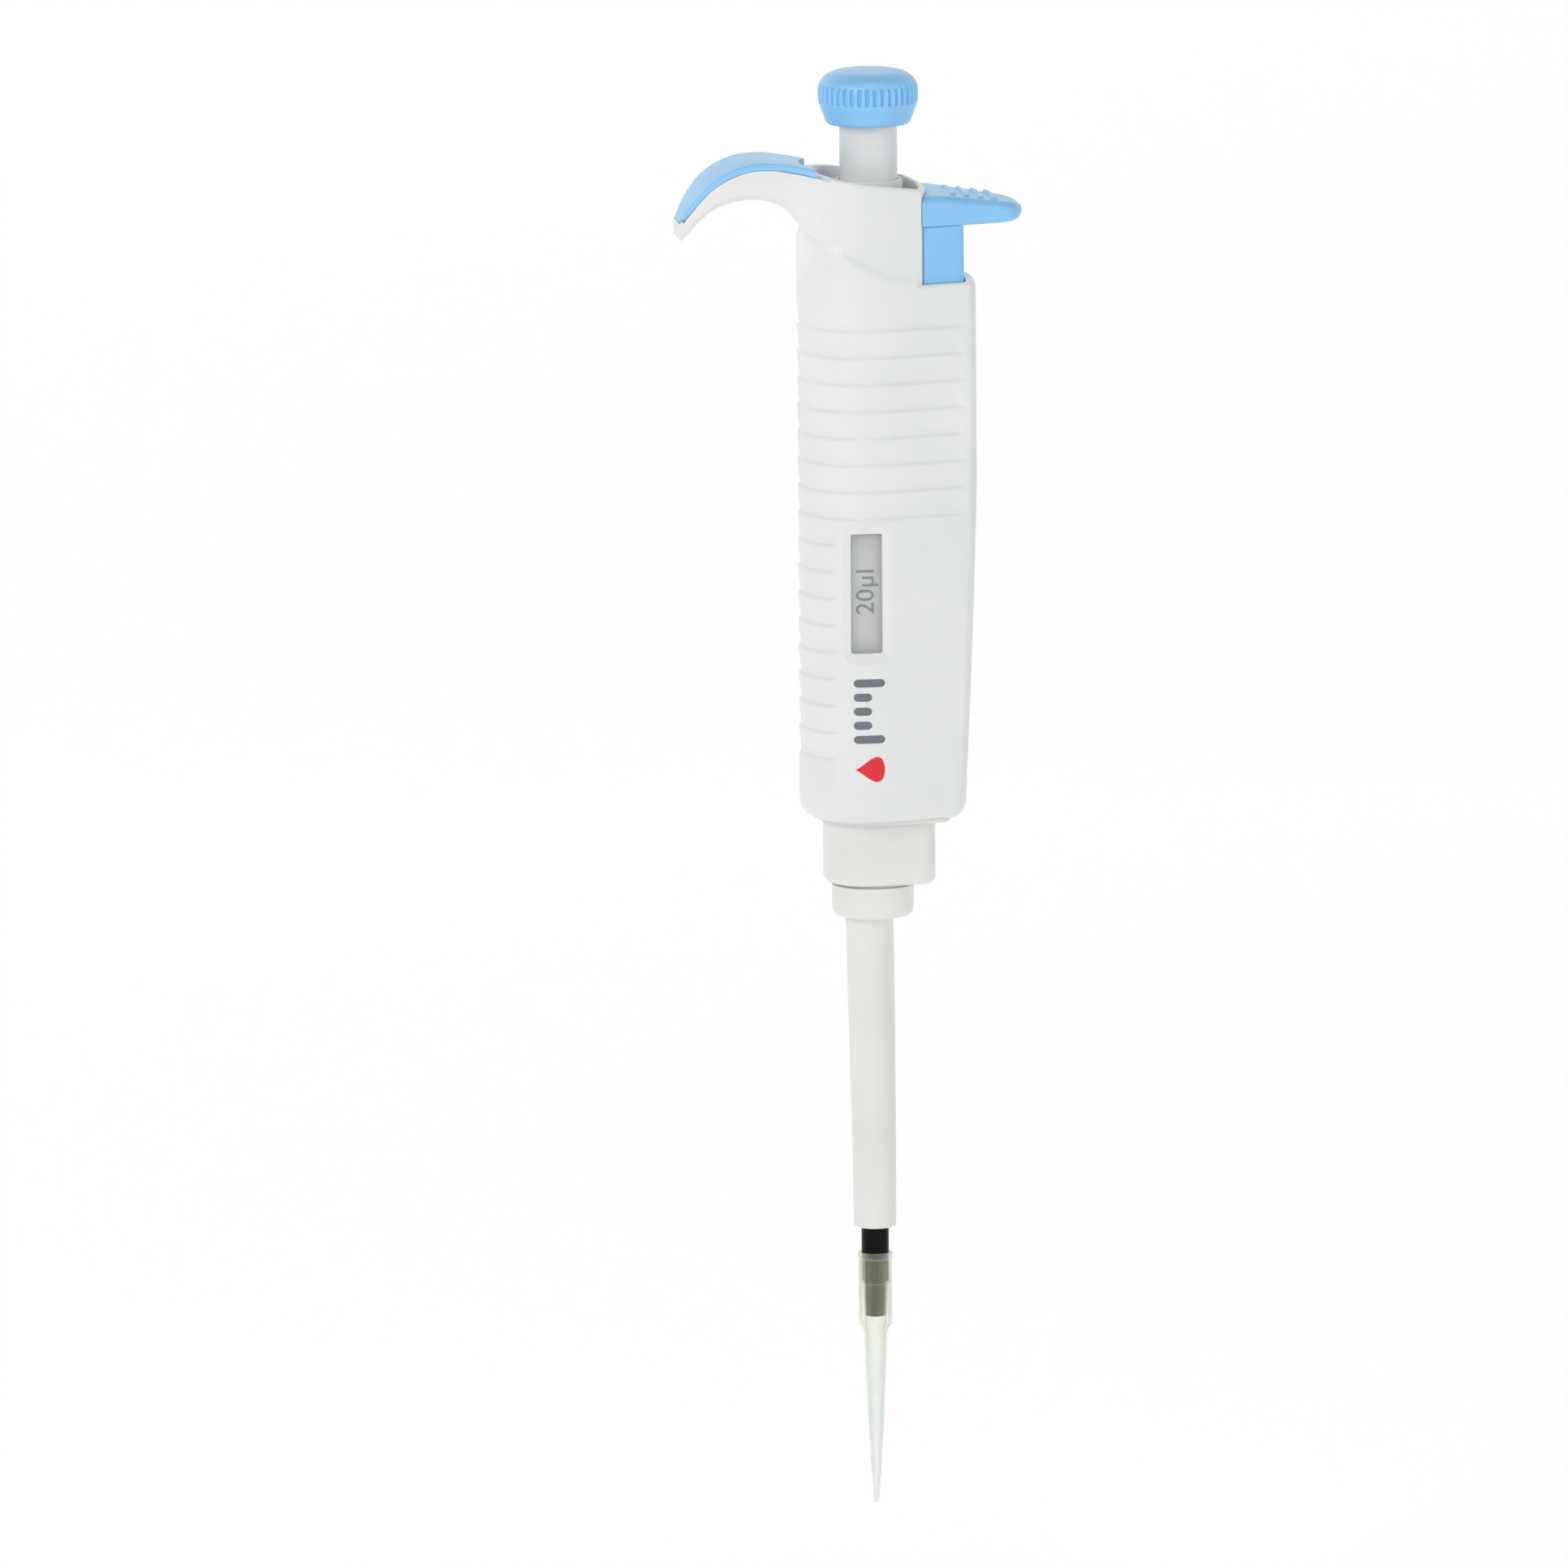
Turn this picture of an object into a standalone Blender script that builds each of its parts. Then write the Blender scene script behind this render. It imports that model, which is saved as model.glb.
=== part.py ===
"""Air-displacement micropipette with a 20 microlitre stroke and a disposable tip fitted.

Frame: the plunger's axis is Z, up towards the button. X runs from the finger hook (-X) to the
ejector lever (+X). The origin is on the plunger's axis, level with the underside of the collar
that the pipette hangs by. Lengths are in millimetres until they are put into a mesh.
"""
import math
from collections import namedtuple

import bmesh
import bpy
from mathutils import Vector

MM = 0.001
GAP = 0.3

# Heights of the main levels
KNOB_TOP, KNOB_FOOT = 168.3, 157.7
NUT_TOP = 146.7
CHASSIS_TOP, CHASSIS_FOOT = 139.5, 22.0
LEVER_TOP, LEVER_FOOT = 144.1, 138.0
SHOULDER = 126.8
GRIP_FOOT = 19.5
CUP_FOOT = 6.5
SLEEVE_FOOT = -62.5
TIP_RIM = -67.7
NOZZLE_END = -80.5
TIP_END = -118.1

# Travels: the plunger's 9.5 is the measured stroke and then 2.5 of blow-out, the ejector's is 8.5
MEASURED_STROKE = 7.0

# Radii about the plunger's axis
KNOB_R = 9.85
STEM_R = 5.7
CHASSIS_BORE = 6.2
CHASSIS_R = 7.8
ROD_R = 1.5
PISTON_R = 0.95
SLEEVE_R_TOP, SLEEVE_R_END, SLEEVE_BORE = 4.85, 4.05, 3.3
COLLAR_R = 8.1

WALL = 1.8
RIM_LEVEL, RIM_SLOPE = 146.9, 0.14
HEAD_NOSE, HEAD_ARC_R = 11.6, 30.0
HEAD_ARC_X = HEAD_NOSE - HEAD_ARC_R
WINDOW = (-5.7, 0.4, 53.6, 77.3)

Plan = namedtuple("Plan", "belly_x back_axis front_axis half_width lean nose nose_radius corner")
GRIP = Plan(-3.0, 11.1, 21.9, 13.7, math.radians(14), 20.7, 45.0, 3.0)
HEAD = GRIP._replace(back_axis=11.0, half_width=13.0, nose=HEAD_NOSE, nose_radius=HEAD_ARC_R,
                     corner=1.0)
CUP = Plan(-0.8, 9.0, 12.0, 9.0, math.radians(6), 12.2, 30.0, 3.5)
END_RING = CUP._replace(back_axis=10.1, half_width=10.3, front_axis=13.3, nose=15.2, corner=4.0)


# ---------------------------------------------------------------- scene helpers

def collection(name):
    made = bpy.data.collections.new(name)
    bpy.context.scene.collection.children.link(made)
    return made


def material(name, colour, roughness, metallic=0.0):
    """Principled material with a linear base colour."""
    made = bpy.data.materials.new(name)
    made.use_nodes = True
    shader = made.node_tree.nodes["Principled BSDF"]
    shader.inputs["Base Color"].default_value = (*colour, 1.0)
    shader.inputs["Roughness"].default_value = roughness
    shader.inputs["Metallic"].default_value = metallic
    made.diffuse_color = (*colour, 1.0)
    return made


def add_object(name, data, finish=None):
    """A part when it has a finish, and otherwise a cutter or a guide that isn't part of the model."""
    made = bpy.data.objects.new(name, data)
    if finish is None:
        CUTTERS.objects.link(made)
        made.hide_render = True
        made.display_type = "WIRE"
    else:
        PARTS.objects.link(made)
        data.materials.append(finish)
    return made


def mesh_of(name, bm):
    bmesh.ops.recalc_face_normals(bm, faces=bm.faces)
    mesh = bpy.data.meshes.new(name)
    bm.to_mesh(mesh)
    bm.free()
    return mesh


# ---------------------------------------------------------------- shape helpers

def turned(name, profile, finish=None, steps=36, ring=False):
    """Turn (radius, height) points about Z. They run down the outside, and back up inside a ring."""
    mesh = bpy.data.meshes.new(name)
    count = len(profile)
    edges = [(i, i + 1) for i in range(count - 1)]
    if ring:
        edges.append((count - 1, 0))
    mesh.from_pydata([(r * MM, 0.0, z * MM) for r, z in profile], edges, [])
    made = add_object(name, mesh, finish)
    screw = made.modifiers.new("turn", "SCREW")
    screw.axis = "Z"
    screw.steps = screw.render_steps = steps
    screw.use_merge_vertices = True
    screw.merge_threshold = 1e-6
    screw.use_smooth_shade = True
    return made


def tube(name, outer, inner, low, high, finish=None, steps=36):
    profile = [(outer, high), (outer, low), (inner, low), (inner, high)]
    return turned(name, profile, finish, steps, ring=True)


def rod(name, radius, low, high, finish=None, steps=24):
    return turned(name, [(0.0, high), (radius, high), (radius, low), (0.0, low)], finish, steps)


def box(name, low, high, finish=None):
    """Block between two corners."""
    bm = bmesh.new()
    bmesh.ops.create_cube(bm, size=1.0)
    size = [b - a for a, b in zip(low, high)]
    middle = [(a + b) / 2 for a, b in zip(low, high)]
    bmesh.ops.scale(bm, vec=Vector(size) * MM, verts=bm.verts)
    bmesh.ops.translate(bm, vec=Vector(middle) * MM, verts=bm.verts)
    return add_object(name, mesh_of(name, bm), finish)


def loft(name, rings, finish=None):
    """Skin through equal rings of points, closed at each end, in triangles because it can twist."""
    bm = bmesh.new()
    rows = [[bm.verts.new(Vector(point) * MM) for point in ring] for ring in rings]
    count = len(rows[0])
    for near, far in zip(rows, rows[1:]):
        for i in range(count):
            j = (i + 1) % count
            bm.faces.new((near[i], near[j], far[j], far[i]))
    bm.faces.new(rows[0])
    bm.faces.new(rows[-1])
    bmesh.ops.triangulate(bm, faces=bm.faces)
    return add_object(name, mesh_of(name, bm), finish)


def combine(target, operation, *tools):
    for tool in tools:
        step = target.modifiers.new(tool.name, "BOOLEAN")
        step.operation = operation
        step.solver = "EXACT"
        step.object = tool


def spring(name, centre_x, low, high, radius, wire, turns, finish):
    """Round-wire compression spring standing on low and reaching high."""
    points_per_turn = 8
    count = turns * points_per_turn
    curve = bpy.data.curves.new(name, "CURVE")
    curve.dimensions = "3D"
    curve.bevel_depth = wire * MM
    curve.bevel_resolution = 2
    curve.use_fill_caps = True
    line = curve.splines.new("POLY")
    line.points.add(count)
    for i, point in enumerate(line.points):
        angle = 2 * math.pi * i / points_per_turn
        height = low + wire + (high - low - 2 * wire) * i / count
        x = centre_x + radius * math.cos(angle)
        point.co = (x * MM, radius * math.sin(angle) * MM, height * MM, 1.0)
    return add_object(name, curve, finish)


# ---------------------------------------------------------------- plan outlines

def along_to_circle(start, direction, centre, radius):
    """Last point of a line, from start along a unit direction, that lies on a circle."""
    offset = start - centre
    along = offset.dot(direction)
    reach = -along + math.sqrt(along * along - offset.length_squared + radius * radius)
    return start + direction * reach


def flank_line(plan, inset):
    """Unit normal of the +Y flank, and its distance from the origin."""
    normal = Vector((math.sin(plan.lean), math.cos(plan.lean)))
    reach = math.hypot((plan.front_axis - inset) * normal.x, (plan.half_width - inset) * normal.y)
    return normal, plan.belly_x * normal.x + reach


def nose_circle(plan, inset):
    return Vector((plan.nose - plan.nose_radius, 0.0)), plan.nose_radius - inset


def arc(centre, radius, start, end, count):
    """Points on a circle from angle start to angle end, both included."""
    angles = [start + (end - start) * i / count for i in range(count + 1)]
    return [centre + radius * Vector((math.cos(a), math.sin(a))) for a in angles]


def plan_outline(plan, inset=0.0, back_inset=None):
    """Plan section: an elliptical back and belly, straight flanks that draw in, and a bowed nose."""
    back = plan.back_axis - (inset if back_inset is None else back_inset)
    front = plan.front_axis - inset
    half = plan.half_width - inset
    radius = max(plan.corner - inset, 0.4)
    normal, reach = flank_line(plan, inset)
    nose_centre, nose_radius = nose_circle(plan, inset)
    along = Vector((normal.y, -normal.x))
    corner = along_to_circle(normal * (reach - radius), along, nose_centre, nose_radius - radius)
    toward = corner - nose_centre
    corner_end = math.atan2(toward.y, toward.x)
    meeting = math.atan2(half * normal.y, front * normal.x)

    upper = []
    for i in range(9):
        angle = math.pi - math.pi / 2 * i / 8
        upper.append(Vector((plan.belly_x + back * math.cos(angle), half * math.sin(angle))))
    for i in range(1, 4):
        angle = math.pi / 2 + (meeting - math.pi / 2) * i / 3
        upper.append(Vector((plan.belly_x + front * math.cos(angle), half * math.sin(angle))))
    upper += arc(corner, radius, math.pi / 2 - plan.lean, corner_end, 4)
    upper += arc(nose_centre, nose_radius, corner_end, 0.0, 3)[1:]
    lower = [Vector((point.x, -point.y)) for point in upper[-2:0:-1]]
    return upper + lower


def slider_outline(inset, nose, hug):
    """The front of the grip's plan, hollowed to pass an arc of radius hug about the head's centre."""
    plan = GRIP._replace(nose=nose, nose_radius=GRIP.nose_radius - (GRIP.nose - nose))
    centre = Vector((HEAD_ARC_X, 0.0))
    normal, reach = flank_line(plan, inset)
    along = Vector((normal.y, -normal.x))
    meeting = along_to_circle(normal * reach, along, centre, hug)
    shaped = plan._replace(nose=nose + inset, nose_radius=plan.nose_radius + inset)
    front = [p for p in plan_outline(shaped, inset) if (p - centre).length > hug + GAP]
    spread = math.atan2(meeting.y, meeting.x - HEAD_ARC_X)
    hollow = arc(centre, hug, -spread, spread, 8)
    return front + hollow


def level(outline, height):
    return [(point.x, point.y, height) for point in outline]


def rounded_section(half_width, low, high, corner):
    """Rounded rectangle across the XZ plane. low and high are the (x, z) ends of its middle line."""
    low, high = Vector(low), Vector(high)
    up = (high - low).normalized()
    tall = (high - low).length / 2
    middle = (low + high) / 2
    points = []
    for quarter, (side, rise) in enumerate(((1, 1), (-1, 1), (-1, -1), (1, -1))):
        for i in range(4):
            angle = math.pi / 2 * (quarter + i / 3)
            across = side * (half_width - corner) + corner * math.cos(angle)
            lift = rise * (tall - corner) + corner * math.sin(angle)
            place = middle + up * lift
            points.append((place.x, across, place.y))
    return points


# ---------------------------------------------------------------- handle

def grip_nose(height):
    """The nose draws back towards the foot of the grip."""
    drop = max(0.0, 88.0 - height) / (88.0 - GRIP_FOOT)
    return GRIP.nose - 2.7 * drop ** 1.3


def grip_ring(height, inset, nose_inset=None):
    nose = grip_nose(height) + inset - (inset if nose_inset is None else nose_inset)
    plan = GRIP._replace(nose=nose, nose_radius=GRIP.nose_radius)
    return level(plan_outline(plan, inset), height)


def rim_height(x):
    return RIM_LEVEL - RIM_SLOPE * x


def rim_ring(outline):
    return [(point.x, point.y, rim_height(point.x)) for point in outline]


# Finger hook: (x, z) under it, (x, z) on top of it, half width. Its root spreads into the head.
HOOK = (
    ((-9.0, 128.0), (-9.0, 147.6), 10.4),
    ((-11.6, 133.5), (-11.6, 147.8), 9.7),
    ((-13.4, 137.2), (-13.4, 148.0), 9.2),
    ((-15.2, 139.7), (-15.0, 148.25), 8.9),
    ((-17.6, 141.9), (-17.0, 148.5), 8.8),
    ((-20.5, 143.3), (-20.2, 149.0), 8.7),
    ((-24.2, 143.9), (-24.6, 148.9), 8.6),
    ((-28.0, 143.4), (-28.8, 147.5), 8.4),
    ((-31.4, 142.1), (-32.4, 145.6), 8.0),
    ((-33.8, 140.1), (-35.3, 142.9), 7.3),
    ((-35.5, 138.1), (-37.4, 140.4), 6.4),
    ((-36.9, 136.3), (-38.4, 138.4), 5.2),
    ((-37.6, 135.8), (-38.5, 137.0), 4.4),
)
# Finger pad on the hook from its second row on: its top over the hook's top, and its thickness
PAD = ((1.4, 1.3), (1.4, 1.3), (1.4, 1.3), (1.4, 1.3), (1.3, 1.3), (1.1, 1.3), (0.9, 1.3),
       (0.6, 1.2), (0.35, 1.1), (0.15, 1.0), (-0.1, 0.9))


def pad_sections(grow=0.0, wider=-0.1):
    """Sections of the finger pad, or of the room for it, which is deeper and further along."""
    sections = []
    for (low, high, half_width), (rise, thickness) in zip(HOOK[1:], PAD):
        up = (Vector(high) - Vector(low)).normalized()
        top = Vector(high) + up * rise
        onward = Vector((-up.y, up.x)) * grow
        foot = top - up * (thickness + grow) + onward
        sections.append((half_width + wider, foot, top + up * 5 * grow + onward))
    return [rounded_section(half, foot, top, 0.4) for half, foot, top in sections]


def build_handle_shell(finish):
    """One moulding: grip, head cup and finger hook, hollow, with its openings."""
    foot_radius = 3.6
    rounding = []
    for i in range(5):
        angle = math.pi / 2 * i / 4
        inset = foot_radius * (1 - math.sin(angle))
        rounding.append(grip_ring(GRIP_FOOT + foot_radius * (1 - math.cos(angle)), inset))
    straight = [grip_ring(height, 0.0) for height in (35, 50, 66, 88, 108, SHOULDER - 0.8)]
    rim = [grip_ring(SHOULDER - 0.24, 0.24), grip_ring(SHOULDER, 0.8)]
    shell = loft("handle_shell", rounding + straight + rim, finish)

    pocket = slider_outline(0.9, 18.7, HEAD_ARC_R - 2.0)
    slider_pocket = loft("slider_pocket", [level(pocket, 109.0), level(pocket, SHOULDER + 3.0)])
    combine(shell, "DIFFERENCE", slider_pocket)
    head_outline = plan_outline(HEAD, 0.0)
    head = loft("head_outside", [level(head_outline, 106.0), rim_ring(head_outline)])
    hook = loft("hook_outside", [rounded_section(half, low, high, 1.2) for low, high, half in HOOK])
    combine(hook, "DIFFERENCE", loft("pad_seat", pad_sections(0.2, 1.0)))
    combine(shell, "UNION", head, hook)

    heights = (21.5, 35, 50, 66, 88, 116)
    grip_hollow = loft("grip_hollow", [grip_ring(height, WALL, 1.9) for height in heights])
    neck_outline = plan_outline(HEAD, 1.6)
    neck_hollow = loft("neck_hollow", [level(neck_outline, 115.0), level(neck_outline, 134.0)])
    cup_outline = plan_outline(HEAD, 1.4, back_inset=3.2)
    cup_hollow = loft("cup_hollow", [level(cup_outline, 136.0), level(cup_outline, 152.0)])
    floor_bore = rod("floor_bore", CHASSIS_R + GAP, 133.0, 137.0, steps=40)
    opening = plan_outline(END_RING, -GAP)
    foot_opening = loft("foot_opening", [level(opening, GRIP_FOOT - 2.0), level(opening, 23.0)])
    window = box("window_opening", (WINDOW[0], -17.0, WINDOW[2]), (WINDOW[1], -9.0, WINDOW[3]))
    combine(shell, "DIFFERENCE", grip_hollow, neck_hollow, cup_hollow, floor_bore, foot_opening,
            window)
    return shell


def build_handle_fittings(shell_white, blue, grey, clear, steel):
    pad = loft("finger_rest_pad", pad_sections(), blue)
    around_head = plan_outline(HEAD, -GAP)
    combine(pad, "DIFFERENCE", loft("around_head", [level(around_head, z) for z in (140.0, 156.0)]))
    left, right, low, high = WINDOW
    box("window_pane", (left + GAP, -12.9, low + GAP), (right - GAP, -12.0, high - GAP), clear)
    box("volume_plate", (-6.6, -10.6, 49.0), (1.4, -9.8, 82.0), grey)

    outer, inner = plan_outline(END_RING), plan_outline(CUP, -GAP)
    ring = loft("end_ring", [level(outer, 18.9), level(outer, 21.0)], shell_white)
    combine(ring, "DIFFERENCE", loft("end_ring_hole", [level(inner, 17.0), level(inner, 24.0)]))

    thin = 7.2
    turned("chassis_tube",
           [(CHASSIS_R, CHASSIS_TOP), (CHASSIS_R, 36.0), (thin, 34.0), (thin, CHASSIS_FOOT),
            (CHASSIS_BORE, CHASSIS_FOOT), (CHASSIS_BORE, CHASSIS_TOP)], shell_white, ring=True)

    bore, neck, flange = STEM_R + GAP, 6.7, 7.6
    nut = turned("calibration_nut",
                 [(neck, NUT_TOP), (neck, 141.5), (flange, 141.5), (flange, CHASSIS_TOP + GAP),
                  (bore, CHASSIS_TOP + GAP), (bore, NUT_TOP)], shell_white, ring=True)
    key_slot = box("nut_key_slot", (-9.0, -0.7, NUT_TOP - 1.2), (9.0, 0.7, NUT_TOP + 1.0))
    combine(nut, "DIFFERENCE", key_slot)

    bracket = box("ejector_spring_bracket", (8.1, -6.5, 81.0), (17.9, 6.5, 83.7), shell_white)
    combine(bracket, "DIFFERENCE", box("bracket_notch", (7.0, -2.5, 80.0), (11.0, 2.5, 85.0)))
    spring("ejector_spring", 15.0, 84.0, 103.7, 2.4, 0.3, 7, steel)


# ---------------------------------------------------------------- plunger, inside the chassis tube

def build_stroke_parts(steel, shell_white):
    """Springs, seats and washer that give the measured stroke and the blow-out stroke after it."""
    seat_r, spring_bore = CHASSIS_BORE - GAP, ROD_R + 0.5
    tube("piston_spring_seat", seat_r, spring_bore, 92.0, 95.0, shell_white)
    spring("piston_spring", 0.0, 95.3, 128.7, 4.3, 0.35, 8, steel)
    washer_top = 88.0 - MEASURED_STROKE - GAP
    tube("blowout_washer", seat_r, spring_bore, washer_top - 0.8, washer_top, steel)
    spring("blowout_spring", 0.0, 68.0, washer_top - 1.1, 4.6, 0.5, 5, steel)
    tube("blowout_seat", seat_r, spring_bore, 66.2, 67.7, shell_white)


def build_plunger(steel, shell_white, seal):
    """Everything that goes down with the button."""
    rod("push_rod", ROD_R, 60.3, 163.2, steel)
    tube("plunger_stem", STEM_R, ROD_R + GAP, 132.0, 160.5, shell_white, steps=48)
    tube("stem_flange", 5.8, ROD_R + GAP, 129.0, 131.7, shell_white)
    tube("stop_collar", 3.6, ROD_R + GAP, 88.0, 90.0, steel, steps=28)
    turned("piston_holder", [(0.0, 60.0), (2.6, 60.0), (3.2, 59.4), (3.2, 50.0), (0.0, 50.0)],
           shell_white, steps=24)
    turned("piston", [(0.0, 49.7), (2.2, 49.7), (2.2, 48.0), (PISTON_R, 48.0),
                      (PISTON_R, -54.7), (0.6, -55.0), (0.0, -55.0)], steel, steps=20)
    ring_r, cord_r, middle = 1.75, 0.45, 29.4
    circle = [-2 * math.pi * i / 10 for i in range(10)]
    turned("o_ring", [(ring_r + cord_r * math.cos(a), middle + cord_r * math.sin(a)) for a in circle],
           seal, steps=24, ring=True)
    tube("seal_retainer", 5.0, 1.3, 30.3, 32.5, steel, steps=28)


def build_button(blue):
    """Thumb knob, hollow below for the stem, with a blind hole for the rod's end."""
    socket = STEM_R + GAP
    turned("plunger_button",
           [(0.0, KNOB_TOP), (5.6, KNOB_TOP), (7.7, 167.95), (9.2, 166.9), (KNOB_R, 165.3),
            (KNOB_R, 162.3), (9.65, 161.4), (9.2, 160.3), (8.65, 158.8), (8.1, KNOB_FOOT),
            (socket, KNOB_FOOT), (socket, 160.9), (ROD_R + GAP, 160.9), (ROD_R + GAP, 163.6),
            (0.0, 163.6)], blue, steps=56)


# ---------------------------------------------------------------- ejector

# Thumb lever: x, half width, underside, top
LEVER = (
    (9.0, 11.1, LEVER_FOOT, LEVER_TOP),
    (13.0, 10.1, LEVER_FOOT, LEVER_TOP),
    (18.5, 8.8, LEVER_FOOT, 143.3),
    (24.7, 7.3, 138.05, 142.4),
    (27.6, 6.3, 138.2, 141.9),
    (29.0, 5.0, 138.6, 141.4),
    (29.8, 3.5, 139.1, 140.9),
    (30.1, 2.0, 139.6, 140.4),
)


def build_ejector(blue, shell_white, steel):
    lever = loft("ejector_lever",
                 [rounded_section(half, (x, low), (x, high), min(1.5, (high - low) / 2.2))
                  for x, half, low, high in LEVER], blue)
    head_arc = rod("head_arc", HEAD_ARC_R + GAP, 130.0, 150.0, steps=96)
    head_arc.location.x = HEAD_ARC_X * MM
    combine(lever, "DIFFERENCE", head_arc)

    wide = slider_outline(1.3, 18.4, HEAD_ARC_R + GAP)
    stem = loft("ejector_stem", [level(wide, 118.0), level(wide, LEVER_FOOT - GAP)], blue)
    narrow = slider_outline(2.5, 17.9, HEAD_ARC_R + GAP)
    stem_foot = loft("stem_foot", [level(narrow, 104.0), level(narrow, 119.0)])
    bar_seat = box("bar_seat", (8.3, -3.0, 104.0), (14.5, 3.0, 107.5))
    combine(stem, "UNION", stem_foot, bar_seat)

    box("ejector_bar", (8.3, -2.2, CUP_FOOT + 1.5), (10.7, 2.2, 103.7), steel)

    wall, rounding = 1.2, 1.6
    rings = []
    for i in range(4):
        angle = math.pi / 2 * i / 3
        inset = rounding * (1 - math.sin(angle))
        rings.append(level(plan_outline(CUP, inset), CUP_FOOT + rounding * (1 - math.cos(angle))))
    rings.append(level(plan_outline(CUP), 29.0))
    cup = loft("ejector_cup", rings, shell_white)
    hollow = plan_outline(CUP, wall)
    combine(cup, "DIFFERENCE",
            loft("cup_inside", [level(hollow, CUP_FOOT + wall), level(hollow, 31.0)]),
            rod("cup_bore", 7.3 + GAP, CUP_FOOT - 2.0, CUP_FOOT + 3.0, steps=36))

    neck, neck_bore, collar_top, seat_r = 7.3, 6.7, CUP_FOOT - 0.1 - GAP, COLLAR_R - 2.0
    turned("ejector_sleeve",
           [(neck, 12.0), (neck, collar_top), (COLLAR_R, collar_top), (COLLAR_R, 2.0),
            (COLLAR_R - 0.27, 1.0), (COLLAR_R - 1.0, 0.27), (seat_r, 0.0), (SLEEVE_R_TOP, 0.0),
            (SLEEVE_R_END, -60.8), (SLEEVE_R_END - 0.2, -61.9), (SLEEVE_R_END - 0.55, SLEEVE_FOOT),
            (SLEEVE_BORE, SLEEVE_FOOT), (SLEEVE_BORE, -1.0), (neck_bore, 2.4), (neck_bore, 12.0)],
           shell_white, steps=48, ring=True)


# ---------------------------------------------------------------- tip cone and tip

def build_tip_cone(black):
    """Black nozzle: threaded boss in the chassis tube, hexagon for a spanner, long tube, tip seat."""
    bore = 1.3
    cone = turned("tip_cone",
                  [(5.9, 30.0), (5.9, 16.0), (5.0, 16.0), (5.0, 13.6), (3.0, 12.6), (3.0, -59.0),
                   (2.72, -61.0), (2.72, TIP_RIM), (2.6, TIP_RIM - 0.3), (2.6, -73.4), (2.15, -73.8),
                   (1.95, NOZZLE_END + 0.3), (1.7, NOZZLE_END), (bore, NOZZLE_END), (bore, 28.5),
                   (2.55, 28.5), (2.55, 30.0)], black, ring=True)
    bm = bmesh.new()
    bmesh.ops.create_cone(bm, cap_ends=True, segments=6, radius1=6.35 * MM, radius2=6.35 * MM,
                          depth=3.2 * MM)
    bmesh.ops.translate(bm, vec=(0.0, 0.0, 16.2 * MM), verts=bm.verts)
    hexagon = add_object("cone_hexagon", mesh_of("cone_hexagon", bm))
    combine(hexagon, "DIFFERENCE", rod("hexagon_bore", 4.0, 12.0, 20.0))
    combine(cone, "UNION", hexagon)


def build_tip(clear):
    turned("pipette_tip",
           [(3.5, TIP_RIM), (3.5, -68.7), (3.15, -69.0), (3.05, -82.6), (2.4, -83.4),
            (1.95, -93.8), (1.5, -103.5), (0.9, -113.2), (0.45, TIP_END), (0.25, TIP_END),
            (0.6, -113.2), (1.1, -103.5), (1.55, -93.8), (1.95, -84.0), (2.25, -80.8), (2.5, -74.2),
            (2.9, -73.7), (2.9, TIP_RIM)], clear, steps=32, ring=True)


# ---------------------------------------------------------------- assembly

for old in list(bpy.data.objects):
    bpy.data.objects.remove(old)
PARTS = collection("micropipette")
CUTTERS = collection("cutters")

white = material("moulded_white", (0.80, 0.81, 0.79), 0.38)
sky_blue = material("moulded_blue", (0.25, 0.58, 0.91), 0.35)
plate_grey = material("plate_grey", (0.50, 0.51, 0.48), 0.5)
pane_clear = material("pane_clear", (0.85, 0.87, 0.86), 0.1)
cone_black = material("cone_black", (0.012, 0.010, 0.009), 0.3)
seal_black = material("seal_rubber", (0.02, 0.02, 0.02), 0.7)
spring_steel = material("spring_steel", (0.55, 0.55, 0.53), 0.3, 1.0)
tip_clear = material("tip_polypropylene", (0.78, 0.84, 0.55), 0.3)

build_handle_shell(white)
build_handle_fittings(white, sky_blue, plate_grey, pane_clear, spring_steel)
build_stroke_parts(spring_steel, white)
build_plunger(spring_steel, white, seal_black)
build_button(sky_blue)
build_ejector(sky_blue, white, spring_steel)
build_tip_cone(cone_black)
build_tip(tip_clear)
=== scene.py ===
"""Looks of a 20 microlitre micropipette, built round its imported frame, in metres.

The pieces come in the order in which they are put together: the stage and lights, the handle and
what is fixed to it, the plunger and its button, the ejector, the cone with its tip, and last the
works inside. The shapes are given in millimetres, and the meshes are made in metres. Z runs up
the plunger's axis, and X runs from the finger hook to the ejector's lever.
"""
import math

import bpy
import numpy as np
from mathutils import Matrix, Vector


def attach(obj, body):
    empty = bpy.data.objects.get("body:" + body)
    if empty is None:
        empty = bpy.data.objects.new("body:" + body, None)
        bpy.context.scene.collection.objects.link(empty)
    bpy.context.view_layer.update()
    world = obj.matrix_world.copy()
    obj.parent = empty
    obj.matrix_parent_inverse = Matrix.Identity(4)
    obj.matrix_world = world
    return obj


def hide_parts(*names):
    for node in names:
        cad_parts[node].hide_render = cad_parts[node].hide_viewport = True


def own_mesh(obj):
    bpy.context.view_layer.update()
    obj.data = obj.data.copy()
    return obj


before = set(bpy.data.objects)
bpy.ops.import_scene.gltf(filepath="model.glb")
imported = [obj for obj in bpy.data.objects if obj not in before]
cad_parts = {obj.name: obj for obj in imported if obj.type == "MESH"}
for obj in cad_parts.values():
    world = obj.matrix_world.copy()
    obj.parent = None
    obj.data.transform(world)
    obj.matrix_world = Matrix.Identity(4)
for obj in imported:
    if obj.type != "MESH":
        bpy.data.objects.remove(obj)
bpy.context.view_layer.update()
MM = 0.001

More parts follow.
